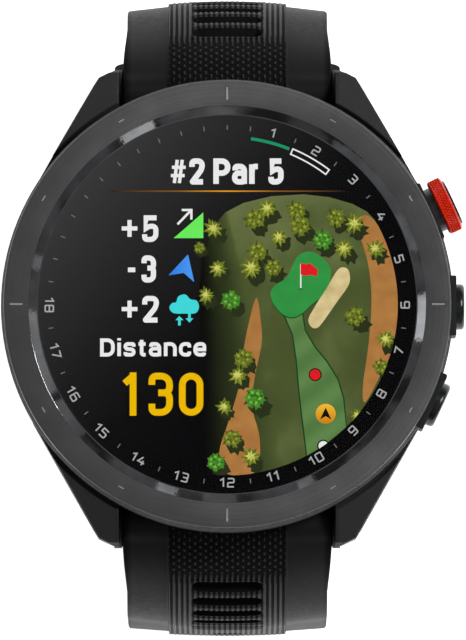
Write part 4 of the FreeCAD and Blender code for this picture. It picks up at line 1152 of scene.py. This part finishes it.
world = bpy.data.worlds.new("studio")
scene.world = world
world.use_nodes = True
studio = Nodes(world.node_tree)
direction = studio.node("TexCoord").outputs["Generated"]
split = studio.node("SeparateXYZ")
studio.link(direction, split.inputs[0])
SKY = [(0.0, 0.3), (0.15, 0.16), (0.47, 0.13), (0.8, 0.15), (1.0, 0.28)]
sky = studio.ramp(split.outputs["Z"], [(height, (level, level, level * 1.01))
                                       for height, level in SKY])
panels = studio.node("TexNoise")
panels.inputs["Scale"].default_value = 4.0
panels.inputs["Detail"].default_value = 1.5
studio.link(direction, panels.inputs["Vector"])


def mapped(value, *levels):
    """Map a value from one range to another: from low, from high, to low, to high."""
    node = studio.node("MapRange")
    for socket, level in zip(("From Min", "From Max", "To Min", "To Max"), levels):
        node.inputs[socket].default_value = level
    studio.link(value, node.inputs["Value"])
    return node.outputs["Result"]


# The panels show in level and low reflections and fade out towards the zenith.
patchy = mapped(panels.outputs["Fac"], 0.44, 0.56, 0.35, 1.6)
low_down = mapped(split.outputs["Z"], 0.6, 0.8, 1.0, 0.0)
strength = studio.node("Mix")
strength.inputs["A"].default_value = 1.0
studio.link(low_down, strength.inputs["Factor"])
studio.link(patchy, strength.inputs["B"])
background = studio.tree.nodes["Background"]
studio.link(strength.outputs["Result"], background.inputs["Strength"])
studio.link(sky, background.inputs["Color"])


def ring_light(name, azimuth, width, radiance, elevation=28, height=0.2, distance=0.7):
    """A softbox on a circle round the watch, most of them for one patch of shine on the bezel."""
    around, up = radians(azimuth), radians(elevation)
    place = [distance * cos(up) * cos(around), distance * cos(up) * sin(around),
             distance * sin(up)]
    softbox(name, place, width, height, radiance * pi * width * height)


# The number of each patch is the hour on the inner slope that it lights.
ring_light("patch_3", 172.6, 0.14, 1.8)
ring_light("patch_11", 299, 0.11, 1.25)
ring_light("patch_9", 18, 0.26, 0.5)
ring_light("patch_8", 38.5, 0.13, 0.3)
ring_light("patch_7", 73, 0.06, 0.75)
ring_light("patch_10", 351, 0.045, 0.3)
ring_light("patch_5", 112.5, 0.05, 0.42)
ring_light("patch_6", 88, 0.1, 0.15)
ring_light("patch_2", 213.5, 0.45, 0.24)
ring_light("patch_12", 279.5, 0.25, 0.13)
ring_light("low_12", 90, 0.8, 0.45, 4, 0.1, 0.8)
softbox("side_key", (0.36, 0.18, 0.5), 0.14, 0.14, 1.8)
ring_light("fan_upper_left", 125, 0.3, 0.5, 62, 0.2, 0.8)
ring_light("fan_lower_right", 305, 0.3, 0.4, 62, 0.2, 0.8)

# The camera looks down on the display, leaning a little towards 6 o'clock, through a long lens.
LEAN = radians(2.9)
AIM = Vector((0.606, -1.674, 13.9)) * MM
DISTANCE, VIEW_WIDTH, SENSOR = 2.0, 0.0669, 36.0
camera = loose("camera", bpy.data.cameras.new("camera"))
camera.data.sensor_width = SENSOR
camera.data.lens = SENSOR * DISTANCE / VIEW_WIDTH
camera.data.clip_end = 10.0
camera.data.clip_start = 0.01
camera.location = AIM + DISTANCE * Vector((0, -sin(LEAN), cos(LEAN)))
camera.rotation_euler = (LEAN, 0, 0)
scene.camera = camera
scene.view_settings.view_transform = "Standard"
